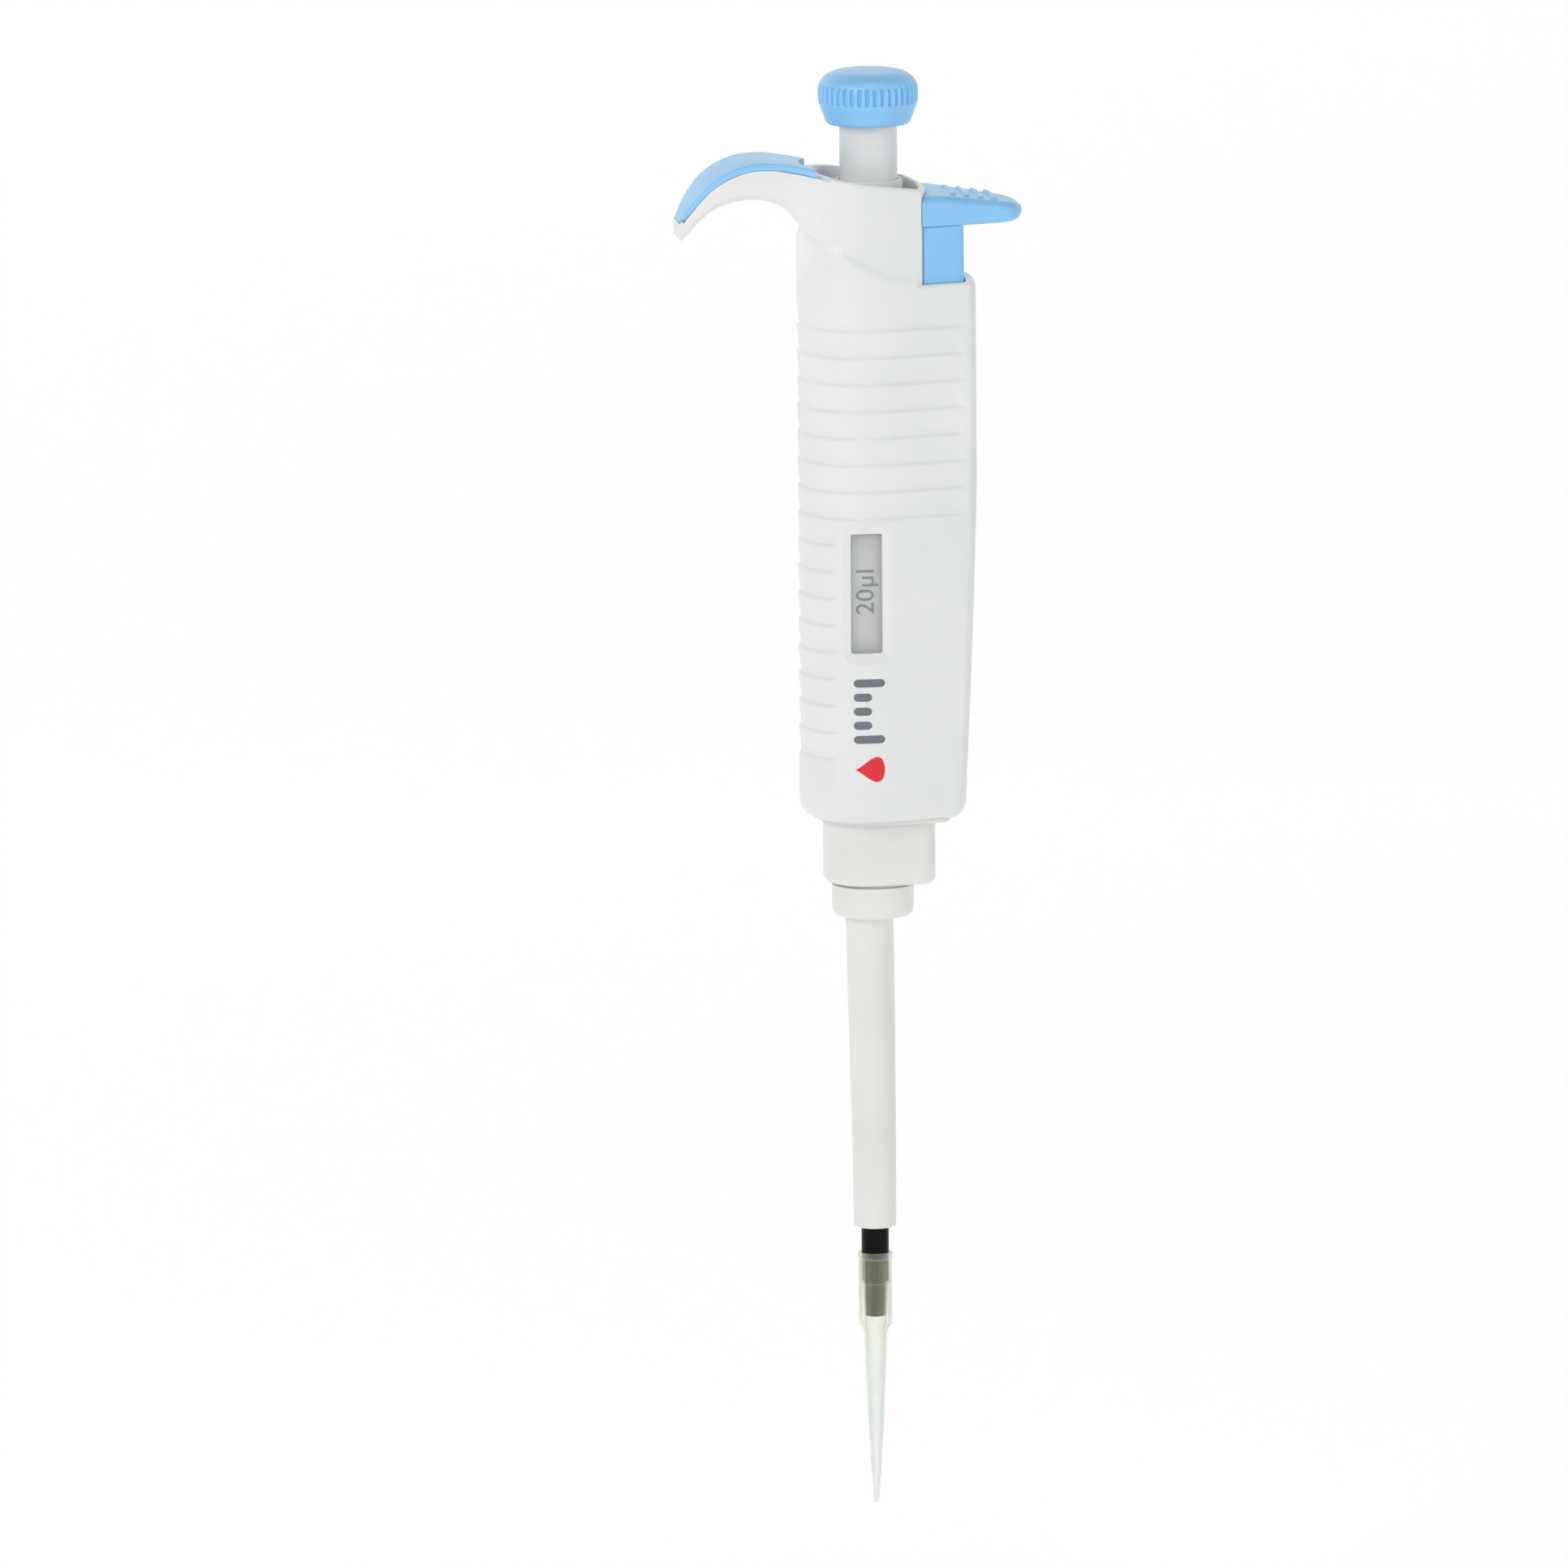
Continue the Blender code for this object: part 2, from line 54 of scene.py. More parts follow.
# ---- Stage: camera, soft lights and a pale sweep -------------------------------------------
# A long lens a few metres off, slightly above the pipette and turned a little towards the
# finger hook, in a white studio: a big soft box on the left, a cooler and weaker one on the
# right, one above the camera, and a sweep of white paper.

PICTURE_WIDTH = 0.3091  # metres across the view at the pipette
DISTANCE = 5.0
LOOK_TURN, LOOK_DOWN, ROLL = math.radians(-8.0), math.radians(9.6), math.radians(-0.4)
AIM_HEIGHT, AIM_LEFT = 26.15, 17.4
COOL_WHITE = (0.88, 0.94, 1.0)


def add_camera():
    """Camera at the view's angle, aimed beside the grip so that the pipette stands off centre."""
    away = Vector((math.sin(LOOK_TURN) * math.cos(LOOK_DOWN),
                   -math.cos(LOOK_TURN) * math.cos(LOOK_DOWN), math.sin(LOOK_DOWN)))
    right = Vector((math.cos(LOOK_TURN), math.sin(LOOK_TURN), 0.0))
    up = away.cross(right)
    target = Vector((0.0, 0.0, AIM_HEIGHT * MM)) - right * (AIM_LEFT * MM)
    data = bpy.data.cameras.new("camera")
    data.sensor_width = 36.0
    data.lens = data.sensor_width * DISTANCE / PICTURE_WIDTH
    data.clip_end = 20.0
    camera = bpy.data.objects.new("camera", data)
    bpy.context.scene.collection.objects.link(camera)
    turn = Matrix((right, up, away)).transposed().to_4x4() @ Matrix.Rotation(ROLL, 4, "Z")
    camera.matrix_world = Matrix.Translation(target + away * DISTANCE) @ turn
    bpy.context.scene.camera = camera


def add_soft_box(name, place, size, watts, colour=(1.0, 1.0, 1.0)):
    """Square area light that faces the middle of the pipette."""
    data = bpy.data.lights.new(name, "AREA")
    data.shape = "SQUARE"
    data.size = size
    data.energy = watts
    data.color = colour
    light = bpy.data.objects.new(name, data)
    bpy.context.scene.collection.objects.link(light)
    light.location = place
    aim = Vector((0.0, 0.0, 0.03)) - Vector(place)
    light.rotation_euler = aim.to_track_quat("-Z", "Y").to_euler()


def srgb(code):
    """Linear (r, g, b, 1) of an sRGB hex colour."""
    channels = np.array([int(code[i:i + 2], 16) for i in (1, 3, 5)]) / 255.0
    linear = np.where(channels <= 0.04045, channels / 12.92, ((channels + 0.055) / 1.055) ** 2.4)
    return (*linear.tolist(), 1.0)


def add_node(tree, kind, settings=None, links=None):
    """Add one shader node. Settings are socket values or properties, links are socket to output."""
    node = tree.nodes.new(kind)
    for key, value in (settings or {}).items():
        if key in node.inputs:
            node.inputs[key].default_value = value
        else:
            setattr(node, key, value)
    for key, output in (links or {}).items():
        tree.links.new(output, node.inputs[key])
    return node


def new_material(name, **settings):
    """Material with one Principled shader. Returns the material, its node tree and the shader."""
    made = bpy.data.materials.new(name)
    made.use_nodes = True
    shader = made.node_tree.nodes["Principled BSDF"]
    for key, value in settings.items():
        shader.inputs[key.replace("_", " ")].default_value = value
    return made, made.node_tree, shader


def mesh_piece(name, mesh, material, smooth_angle=35.0):
    """Object for a finished mesh, smooth except at edges sharper than the angle."""
    mesh.shade_smooth()
    mesh.set_sharp_from_angle(angle=math.radians(smooth_angle))
    mesh.materials.clear()
    mesh.materials.append(material)
    piece = bpy.data.objects.new(name, mesh)
    bpy.context.scene.collection.objects.link(piece)
    return piece


add_camera()
add_soft_box("key_soft_box", (-1.55, -1.5, 1.2), 1.0, 18.0)
add_soft_box("right_soft_box", (1.6, -1.2, 0.6), 1.2, 5.8, COOL_WHITE)
add_soft_box("top_soft_box", (0.0, -0.9, 1.8), 0.9, 6.5)

# The studio's walls are bright all round, and its ceiling is darker.
world = bpy.data.worlds.new("studio")
world.use_nodes = True
glow = world.node_tree.nodes["Background"]
aloft = add_node(world.node_tree, "ShaderNodeSeparateXYZ", links={
    "Vector": add_node(world.node_tree, "ShaderNodeTexCoord").outputs["Generated"]}).outputs["Z"]
dimmer = add_node(world.node_tree, "ShaderNodeMapRange", {"To Min": 0.65, "To Max": 0.12},
                  {"Value": aloft})
glow.inputs["Color"].default_value = (1.0, 1.0, 1.0, 1.0)
world.node_tree.links.new(dimmer.outputs["Result"], glow.inputs["Strength"])
bpy.context.scene.world = world
bpy.context.scene.view_settings.view_transform = "Standard"


def build_sweep():
    """Floor that turns up into a back wall along a quarter circle, drawn as one curved sheet.

    Its reverse side is clear, so that a view from behind or below it still shows the pipette.
    """
    floor_z, wall_y, bend, front_y, wall_top, side = -0.17, 1.6, 0.5, -4.0, 2.6, 4.0
    turn = np.linspace(0.0, math.pi / 2, 24)
    y = np.concatenate([[front_y], wall_y - bend + bend * np.sin(turn), [wall_y]])
    z = np.concatenate([[floor_z], floor_z + bend - bend * np.cos(turn), [wall_top]])
    x = np.array([-side, side])
    points = np.stack([np.repeat(x, len(y)), np.tile(y, 2), np.tile(z, 2)], axis=1)
    count = len(y)
    faces = [(count + i, count + i + 1, i + 1, i) for i in range(count - 1)]
    mesh = bpy.data.meshes.new("sweep")
    mesh.from_pydata(points.tolist(), [], faces)
    paper, tree, shader = new_material("matt_paper_sweep", Roughness=0.95,
                                       Base_Color=srgb("#fafafa"),
                                       Emission_Color=srgb("#ffffff"), Emission_Strength=0.3)
    reverse = add_node(tree, "ShaderNodeNewGeometry").outputs["Backfacing"]
    front = add_node(tree, "ShaderNodeMath", {"operation": "SUBTRACT"})
    front.inputs[0].default_value = 1.0
    tree.links.new(reverse, front.inputs[1])
    tree.links.new(front.outputs["Value"], shader.inputs["Alpha"])
    mesh_piece("sweep", mesh, paper)


build_sweep()

# ---- Moulded plastics ----------------------------------------------------------------------
# The casings are injection-moulded plastic: the mould is finely spark-eroded, so the skin is
# satin with a fine grain, slightly uneven in gloss, and a little light scatters inside it.

GRAIN, FLOW = 0.25, 18.0  # grain is drawn coarser than the real 0.05 mm, so that it shows


def moulded_plastic(name, colour, deep_colour, roughness, grain_height, scatter, specular=0.5):
    """Moulded plastic: colour and gloss drift over 18 mm as the melt flowed, grain lifts the skin.

    Colour goes from deep_colour to colour, and roughness from 0.05 below to 0.06 above its mean.
    """
    made, tree, shader = new_material(name, IOR=1.5, Specular_IOR_Level=specular,
                                      Subsurface_Weight=scatter, Subsurface_Scale=0.6 * MM)
    shader.inputs["Subsurface Radius"].default_value = (1.0, 0.9, 0.8)
    place = add_node(tree, "ShaderNodeTexCoord").outputs["Object"]
    flow = add_node(tree, "ShaderNodeTexNoise", {"Scale": 1 / (FLOW * MM), "Detail": 3.0},
                    {"Vector": place})
    tint = add_node(tree, "ShaderNodeValToRGB", links={"Fac": flow.outputs["Fac"]})
    tint.color_ramp.elements[0].position, tint.color_ramp.elements[1].position = 0.3, 0.7
    tint.color_ramp.elements[0].color = srgb(deep_colour)
    tint.color_ramp.elements[1].color = srgb(colour)
    grain = add_node(tree, "ShaderNodeTexNoise", {"Scale": 1 / (GRAIN * MM), "Detail": 2.0},
                     {"Vector": place})
    gloss = add_node(tree, "ShaderNodeMapRange",
                     {"From Min": 0.3, "From Max": 0.7, "To Min": roughness - 0.05,
                      "To Max": roughness + 0.06}, {"Value": flow.outputs["Fac"]})
    bump = add_node(tree, "ShaderNodeBump", {"Strength": 0.5, "Distance": grain_height * MM},
                    {"Height": grain.outputs["Fac"]})
    tree.links.new(tint.outputs["Color"], shader.inputs["Base Color"])
    tree.links.new(gloss.outputs["Result"], shader.inputs["Roughness"])
    tree.links.new(bump.outputs["Normal"], shader.inputs["Normal"])
    return made


# ABS gives the casings a satin skin. The polypropylene of the fittings is a little warmer, and
# lets more light into it. The blue ABS is the same plastic with a pigment.
SHELL_WHITE = moulded_plastic("satin_abs_white", "#e6e7e6", "#e1e3e2", 0.36, 0.012, 0.15)
FITTING_WHITE = moulded_plastic("polypropylene_off_white", "#e6e6e0", "#e0e0da", 0.36, 0.006, 0.25)
SKY_BLUE = moulded_plastic("satin_abs_sky_blue", "#8fcbf5", "#87c4ef", 0.34, 0.008, 0.12)

# ---- Handle shell --------------------------------------------------------------------------
# One moulding in white ABS: the wedge-shaped grip with its shallow steps for the fingers, the
# open cup of the head on top, and the hook that hangs over the index finger.

GRIP_FOOT, SHOULDER = 19.9, 126.8
WALL = 1.8
FLANK_LEAN = math.radians(14.0)
TAPER_TOP, TAPER = 88.0, 2.7  # the grip's nose draws back below this height, by this much
RIM_LEVEL, RIM_SLOPE = 146.9, 0.14
HEAD_ARC_X, HEAD_ARC_R = -19.0, 30.0  # arc in which the ejector slides in front of the head
HEAD_PROUD = 0.6
STEP_TOP, STEP_PITCH, STEP_DEPTH, LIP = 118.4, 5.33, 0.5, 0.6
STEPS_ROUND, STEPS_ALL = 8, 17  # steps that go round the flanks, and steps in all
WINDOW = (-5.7, 0.4, 54.2, 77.9)  # left, right, bottom, top


def skin(name, rings, loop=False):
    """Mesh of a stack of closed rings, an array of rings by points by 3, in millimetres.

    Neighbouring rings are joined by quads. The ends are closed by fans to their mean point, or
    the last ring is joined to the first when the stack is itself a loop.
    """
    rings = np.asarray(rings, float)
    rows, columns = rings.shape[:2]
    index = np.arange(rows * columns).reshape(rows, columns)
    ahead = np.roll(index, -1, axis=1)
    below, below_ahead = np.roll(index, -1, axis=0), np.roll(ahead, -1, axis=0)
    last = rows if loop else rows - 1
    quads = np.stack([index, ahead, below_ahead, below], axis=2)[:last].reshape(-1, 4)
    points = rings.reshape(-1, 3)
    faces = quads.tolist()
    if not loop:
        points = np.vstack([points, rings[0].mean(axis=0), rings[-1].mean(axis=0)])
        first, final = rows * columns, rows * columns + 1
        faces += np.stack([ahead[0], index[0], np.full(columns, first)], axis=1).tolist()
        faces += np.stack([index[-1], ahead[-1], np.full(columns, final)], axis=1).tolist()
    mesh = bpy.data.meshes.new(name)
    mesh.from_pydata((points * MM).tolist(), [], faces)
    mesh.update()
    return outward(mesh)


def outward(mesh):
    """Turn every face of a closed mesh over if its signed volume is negative."""
    mesh.calc_loop_triangles()
    corners = np.array([t.vertices[:] for t in mesh.loop_triangles])
    places = np.empty(len(mesh.vertices) * 3)
    mesh.vertices.foreach_get("co", places)
    a, b, c = places.reshape(-1, 3)[corners].transpose(1, 0, 2)
    if np.einsum("ij,ij->i", a, np.cross(b, c)).sum() < 0:
        mesh.flip_normals()
    return mesh


class Plan:
    """Plan shape of a casing: elliptical back and belly, straight leaning flanks, bowed nose."""

    def __init__(self, belly_x, back, front, half, lean, nose, nose_r, corner):
        self.belly_x, self.back, self.front, self.half = belly_x, back, front, half
        self.lean, self.nose, self.nose_r, self.corner = lean, nose, nose_r, corner

    def outline(self, inset=0.0, nose=None, back_inset=None, fine=1):
        """Closed outline, an array of points by 2, drawn in by inset.

        The back and the belly are quarters of two ellipses, rx cos t by ry sin t. Each flank is
        the line that touches the belly's ellipse at the flank's lean. It runs into the nose's
        circle through a fillet whose centre is where the flank and the circle, both drawn in by
        the fillet's radius, cross.
        """
        back = self.back - (inset if back_inset is None else back_inset)
        front, half = self.front - inset, self.half - inset
        radius = max(self.corner - inset, 0.4)
        normal = np.array([math.sin(self.lean), math.cos(self.lean)])
        along = np.array([normal[1], -normal[0]])
        reach = self.belly_x * normal[0] + math.hypot(front * normal[0], half * normal[1])
        nose_x = (self.nose if nose is None else nose) - self.nose_r
        circle = self.nose_r - inset - radius
        start = normal * (reach - radius) - [nose_x, 0.0]
        step = -start @ along + math.sqrt((start @ along) ** 2 - start @ start + circle ** 2)
        toward = start + along * step
        corner_end = math.atan2(toward[1], toward[0])
        touch = math.atan2(half * normal[1], front * normal[0])
        centre = toward + [nose_x, 0.0]
        flank_end = centre + normal * radius
        flank_start = np.array([self.belly_x + front * math.cos(touch), half * math.sin(touch)])

        def curve(middle_x, middle_y, rx, ry, begin, end, count):
            turn = np.linspace(begin, end, count * fine + 1)[:-1]
            return np.stack([middle_x + rx * np.cos(turn), middle_y + ry * np.sin(turn)], axis=1)

        lean_angle = math.pi / 2 - self.lean
        flank = flank_start + (flank_end - flank_start) * np.linspace(0, 1, 8 * fine + 1)[:-1, None]
        nose_r = self.nose_r - inset
        upper = np.vstack([
            curve(self.belly_x, 0.0, back, half, math.pi, math.pi / 2, 12),
            curve(self.belly_x, 0.0, front, half, math.pi / 2, touch, 5),
            flank,
            curve(centre[0], centre[1], radius, radius, lean_angle, corner_end, 4),
            curve(nose_x, 0.0, nose_r, nose_r, corner_end, 0.0, 4),
            [[nose_x + nose_r, 0.0]]])
        return np.vstack([upper, upper[-2:0:-1] * [1.0, -1.0]])


GRIP = Plan(-3.0, 11.3, 21.9, 13.66, FLANK_LEAN, 20.7, 45.0, 3.0)
HEAD = Plan(-3.0, 11.3, 21.9, 13.64, FLANK_LEAN, HEAD_ARC_X + HEAD_ARC_R + HEAD_PROUD,
            HEAD_ARC_R + HEAD_PROUD, 1.2)
END_RING = Plan(-0.8, 10.1, 13.3, 10.3, math.radians(6.0), 15.2, 30.0, 4.0)


def smooth_step(value, low, high):
    """0 up to low, 1 from high, and between them 3 s^2 - 2 s^3 of the share s of the way."""
    share = np.clip((value - low) / (high - low), 0.0, 1.0)
    return share * share * (3.0 - 2.0 * share)


def level(outline, height):
    """Outline lifted to a height, which is a number or one value for each point."""
    return np.column_stack([outline, np.broadcast_to(height, len(outline))])


def grip_nose(height):
    """Reach of the grip's nose: it draws back by the power 1.3 of the way down to the foot."""
    return GRIP.nose - TAPER * max(0.0, (TAPER_TOP - height) / (TAPER_TOP - GRIP_FOOT)) ** 1.3


def step_reach(outline, height):
    """Where the finger steps show: round both flanks above, and only on the back lower down."""
    if height > STEP_TOP - (STEPS_ROUND - 1) * STEP_PITCH - 1.1 * LIP:
        return smooth_step(-outline[:, 0], -17.4, -16.6)
    return smooth_step(-outline[:, 0], 8.9, 9.6)


def drawn_in(outline, amount):
    """Outline with each point moved inwards along its own normal by its own amount."""
    ahead, behind = np.roll(outline, -1, axis=0), np.roll(outline, 1, axis=0)
    tangent = ahead - behind
    tangent /= np.linalg.norm(tangent, axis=1)[:, None]
    outwards = np.stack([-tangent[:, 1], tangent[:, 0]], axis=1)
    return outline - outwards * amount[:, None]


def grip_surface():
    """Rings of the grip's outside: rounded foot, stepped flanks, rounded shoulder.

    Below each ledge the skin is at its full size. It tapers in evenly until the next ledge,
    which comes out again over a sloped lip that faces up and outwards.
    """
    foot_r, rim_r = 3.6, 0.9
    turn = np.linspace(0.0, math.pi / 2, 9)
    rings = [(GRIP_FOOT + foot_r * (1 - math.cos(a)), foot_r * (1 - math.sin(a)), 0.0)
             for a in turn]
    lip = [(LIP * part, STEP_DEPTH * (1 - part) ** 1.3) for part in (0.04, 0.35, 0.7, 1.0)]
    for ledge in STEP_TOP - STEP_PITCH * np.arange(-1, STEPS_ALL):
        if ledge < STEP_TOP + 1.0:
            rings += [(ledge - drop, 0.0, draw) for drop, draw in lip]
        if ledge > STEP_TOP - STEP_PITCH * (STEPS_ALL - 1.5):
            for part in (0.16, 0.35, 0.55, 0.75, 0.9, 0.998):
                rings.append((ledge - STEP_PITCH * part, 0.0, STEP_DEPTH * part ** 1.6))
    rings += [(SHOULDER - rim_r * (1 - math.sin(a)), rim_r * (1 - math.cos(a)), 0.0) for a in turn]
    stack = []
    for height, inset, draw in sorted(rings):
        outline = GRIP.outline(inset, nose=grip_nose(height), fine=2)
        stack.append(level(drawn_in(outline, draw * step_reach(outline, height)), height))
    return skin("grip_outside", stack)


def head_surface():
    """Rings of the head's outside, which lies under the grip's skin at its foot.

    It comes up flush with the grip above the top ledge. Above a long S-shaped crease it is drawn
    in all round, and beside the ejector it is drawn in over its whole height.
    """
    flush, rim_r, start = -0.02, 0.7, 106.0
    outline = HEAD.outline(0.0, fine=2)
    crease = 126.9 + 8.6 * smooth_step(-outline[:, 0], -7.0, 16.0)
    behind_corner = smooth_step(-outline[:, 0], -9.0, -7.5)
    rim = RIM_LEVEL - RIM_SLOPE * outline[:, 0]
    stack = []
    for share in np.concatenate([[0.0], np.linspace(0.38, 0.98, 44)]):
        height = start + (rim - rim_r - start) * share
        above_ledge = smooth_step(height, 123.7, 124.5)
        below_crease = 1 - smooth_step(height - crease, -0.2, 1.8)
        level_with_grip = above_ledge * below_crease
        inset = HEAD_PROUD + (flush - HEAD_PROUD) * level_with_grip * behind_corner
        stack.append(level(drawn_in(outline, inset), height))
    for angle in np.linspace(0.0, math.pi / 2, 6):
        inset = np.full(len(outline), HEAD_PROUD + rim_r * (1 - math.cos(angle)))
        stack.append(level(drawn_in(outline, inset), rim - rim_r * (1 - math.sin(angle))))
    return skin("head_outside", stack)


# Hook: (x, z) under it, (x, z) on top of it, half width, radius of its lower corners
HOOK = np.array([
    (-7.0, 125.0, -7.0, 147.4, 11.95, 9.0), (-9.0, 129.0, -9.0, 147.6, 11.0, 9.0),
    (-11.6, 134.0, -11.6, 148.3, 10.05, 8.0), (-13.4, 137.2, -13.4, 148.7, 9.5, 6.5),
    (-15.2, 139.7, -15.0, 149.05, 9.15, 5.0), (-17.6, 141.9, -17.0, 149.4, 8.9, 3.8),
    (-20.5, 143.3, -20.2, 149.9, 8.7, 3.0), (-24.2, 143.9, -24.6, 149.8, 8.6, 2.6),
    (-28.0, 143.4, -28.8, 148.5, 8.4, 2.4), (-31.4, 142.1, -32.4, 146.4, 7.9, 2.2),
    (-33.8, 140.1, -35.3, 143.4, 6.7, 1.8), (-35.5, 138.1, -37.4, 140.6, 5.2, 1.5),
    (-36.8, 136.2, -38.3, 138.5, 3.6, 1.2), (-37.5, 135.3, -38.35, 136.7, 2.2, 0.6)])
# The finger pad on it, from its third row to its last but one: rise of its top, and thickness
PAD_RISE = np.array([1.4, 1.4, 1.4, 1.4, 1.35, 1.25, 1.1, 0.8, 0.45, 0.15, -0.05])
PAD_THICKNESS = np.array([1.3, 1.3, 1.3, 1.3, 1.3, 1.3, 1.3, 1.2, 1.1, 0.95, 0.7])
PAD_END = (0.97, 0.86, 0.55)  # share of the width left at its last three rows


def smooth_rows(rows, per_span):
    """Points of a Catmull-Rom spline through the rows, per_span of them in each span.

    Between b and c, with a before and d after, a point is half of
    2b + (c - a) t + (2a - 5b + 4c - d) t^2 + (3b - a - 3c + d) t^3.
    """
    ends = np.vstack([2 * rows[0] - rows[1], rows, 2 * rows[-1] - rows[-2]])
    t = np.linspace(0.0, 1.0, per_span, endpoint=False)[None, :, None]
    a, b, c, d = ends[:-3, None], ends[1:-2, None], ends[2:-1, None], ends[3:, None]
    spans = 0.5 * (2 * b + (c - a) * t + (2 * a - 5 * b + 4 * c - d) * t ** 2
                   + (3 * b - a - 3 * c + d) * t ** 3)
    return np.vstack([spans.reshape(-1, rows.shape[1]), rows[-1:]])


def band(name, rows, corner, under=None, per_corner=5):
    """Bar across Y along rows of (x, z below, x, z above, half width), with rounded corners.

    Each section is a rounded rectangle in the plane of its two middle points and Y. Its lower
    corners have the radius under, one number or one for each row, or that of the upper ones.
    """
    low, high = rows[:, 0:2], rows[:, 2:4]
    half = rows[:, 4:5]
    tall = np.linalg.norm(high - low, axis=1)[:, None] / 2
    up = (high - low) / (2 * tall)
    quarter = np.linspace(0.0, math.pi / 2, per_corner)
    turn = np.concatenate([quarter + k * math.pi / 2 for k in range(4)])
    side = np.repeat([1, -1, -1, 1], per_corner)
    rise = np.repeat([1, 1, -1, -1], per_corner)
    lower = np.reshape(corner if under is None else under, (-1, 1))
    radius = np.minimum(np.where(rise > 0, corner, lower), tall * 0.98)
    across = side * (half - radius) + radius * np.cos(turn)
    lift = rise * (tall - radius) + radius * np.sin(turn)
    middle = (low + high) / 2
    x = middle[:, 0:1] + up[:, 0:1] * lift
    z = middle[:, 1:2] + up[:, 1:2] * lift
    return skin(name, np.stack([x, across, z], axis=2))


def pad_rows(deeper, wider, taller):
    """Rows of the finger pad, or of the room cut for it when it is larger.

    Each is the hook's row with its two points moved along the line through them, to the pad's
    rise for its top, and to the rise less the thickness for its foot.
    """
    rows = HOOK[2:-1]
    up = rows[:, 2:4] - rows[:, 0:2]
    up /= np.linalg.norm(up, axis=1)[:, None]
    foot = rows[:, 2:4] + up * (PAD_RISE - PAD_THICKNESS - deeper)[:, None]
    top = rows[:, 2:4] + up * (PAD_RISE + taller)[:, None]
    narrowing = np.concatenate([np.ones(len(rows) - 3), PAD_END])
    return smooth_rows(np.column_stack([foot, top, rows[:, 4] * narrowing + wider]), 5)[:-2]


def carve(base, *steps):
    """Apply Booleans in order. Each step is an operation and a mesh. Returns the joined mesh."""
    work = bpy.data.objects.new("work", base)
    bpy.context.scene.collection.objects.link(work)
    helpers = [work]
    for operation, mesh in steps:
        tool = bpy.data.objects.new("tool", mesh)
        bpy.context.scene.collection.objects.link(tool)
        helpers.append(tool)
        change = work.modifiers.new("carve", "BOOLEAN")
        change.operation, change.solver, change.object = operation, "EXACT", tool
    graph = bpy.context.evaluated_depsgraph_get()
    result = bpy.data.meshes.new_from_object(work.evaluated_get(graph), depsgraph=graph)
    for helper in helpers:
        bpy.data.objects.remove(helper)
    return result


def slider_rings(inset, nose, hug, heights, fine=2):
    """Rings of a block in front of the head: the grip's outline beyond the arc, closed by the arc.

    The arc's points are its centre plus hug times (cos t, sin t).
    """
    outline = GRIP.outline(inset, nose=nose + inset, fine=fine)
    centre = np.array([HEAD_ARC_X, 0.0])
    front = outline[np.linalg.norm(outline - centre, axis=1) > hug + 0.3]
    spread = math.atan2(front[0, 1] + 0.4, hug - 0.6)
    turn = np.linspace(-spread, spread, 20)
    hollow = centre + hug * np.stack([np.cos(turn), np.sin(turn)], axis=1)
    plan = np.vstack([front, hollow])
    return [level(plan, height) for height in heights]


def window_cutter():
    """Through hole with a shallow sloped frame, as rounded rectangles that follow the belly.

    Each one lies a depth inside the skin, and they widen towards the outside.
    """
    left, right, low, high = WINDOW
    middle_x, middle_z = (left + right) / 2, (low + high) / 2
    half_x, half_z = (right - left) / 2, (high - low) / 2
    corner = np.linspace(0.0, math.pi / 2, 5)
    turn = np.concatenate([corner + k * math.pi / 2 for k in range(4)])
    side_x, side_z = np.repeat([1, -1, -1, 1], 5), np.repeat([1, 1, -1, -1], 5)

    def ring(depth, grow, radius):
        x = middle_x + side_x * (half_x + grow - radius) + radius * np.cos(turn)
        z = middle_z + side_z * (half_z + 1.2 * grow - radius) + radius * np.sin(turn)
        axis = np.where(x < GRIP.belly_x, GRIP.back, GRIP.front)
        belly = GRIP.half * np.sqrt(1.0 - ((x - GRIP.belly_x) / axis) ** 2)
        return np.column_stack([x, depth - belly, z])

    return skin("window", [ring(4.0, 0.0, 0.5), ring(0.95, 0.0, 0.5), ring(0.82, 0.05, 0.55),
                           ring(0.74, 0.18, 0.65), ring(0.30, 1.15, 1.3), ring(0.10, 1.5, 1.6),
                           ring(-0.10, 1.75, 1.9), ring(-2.0, 3.2, 3.2)])


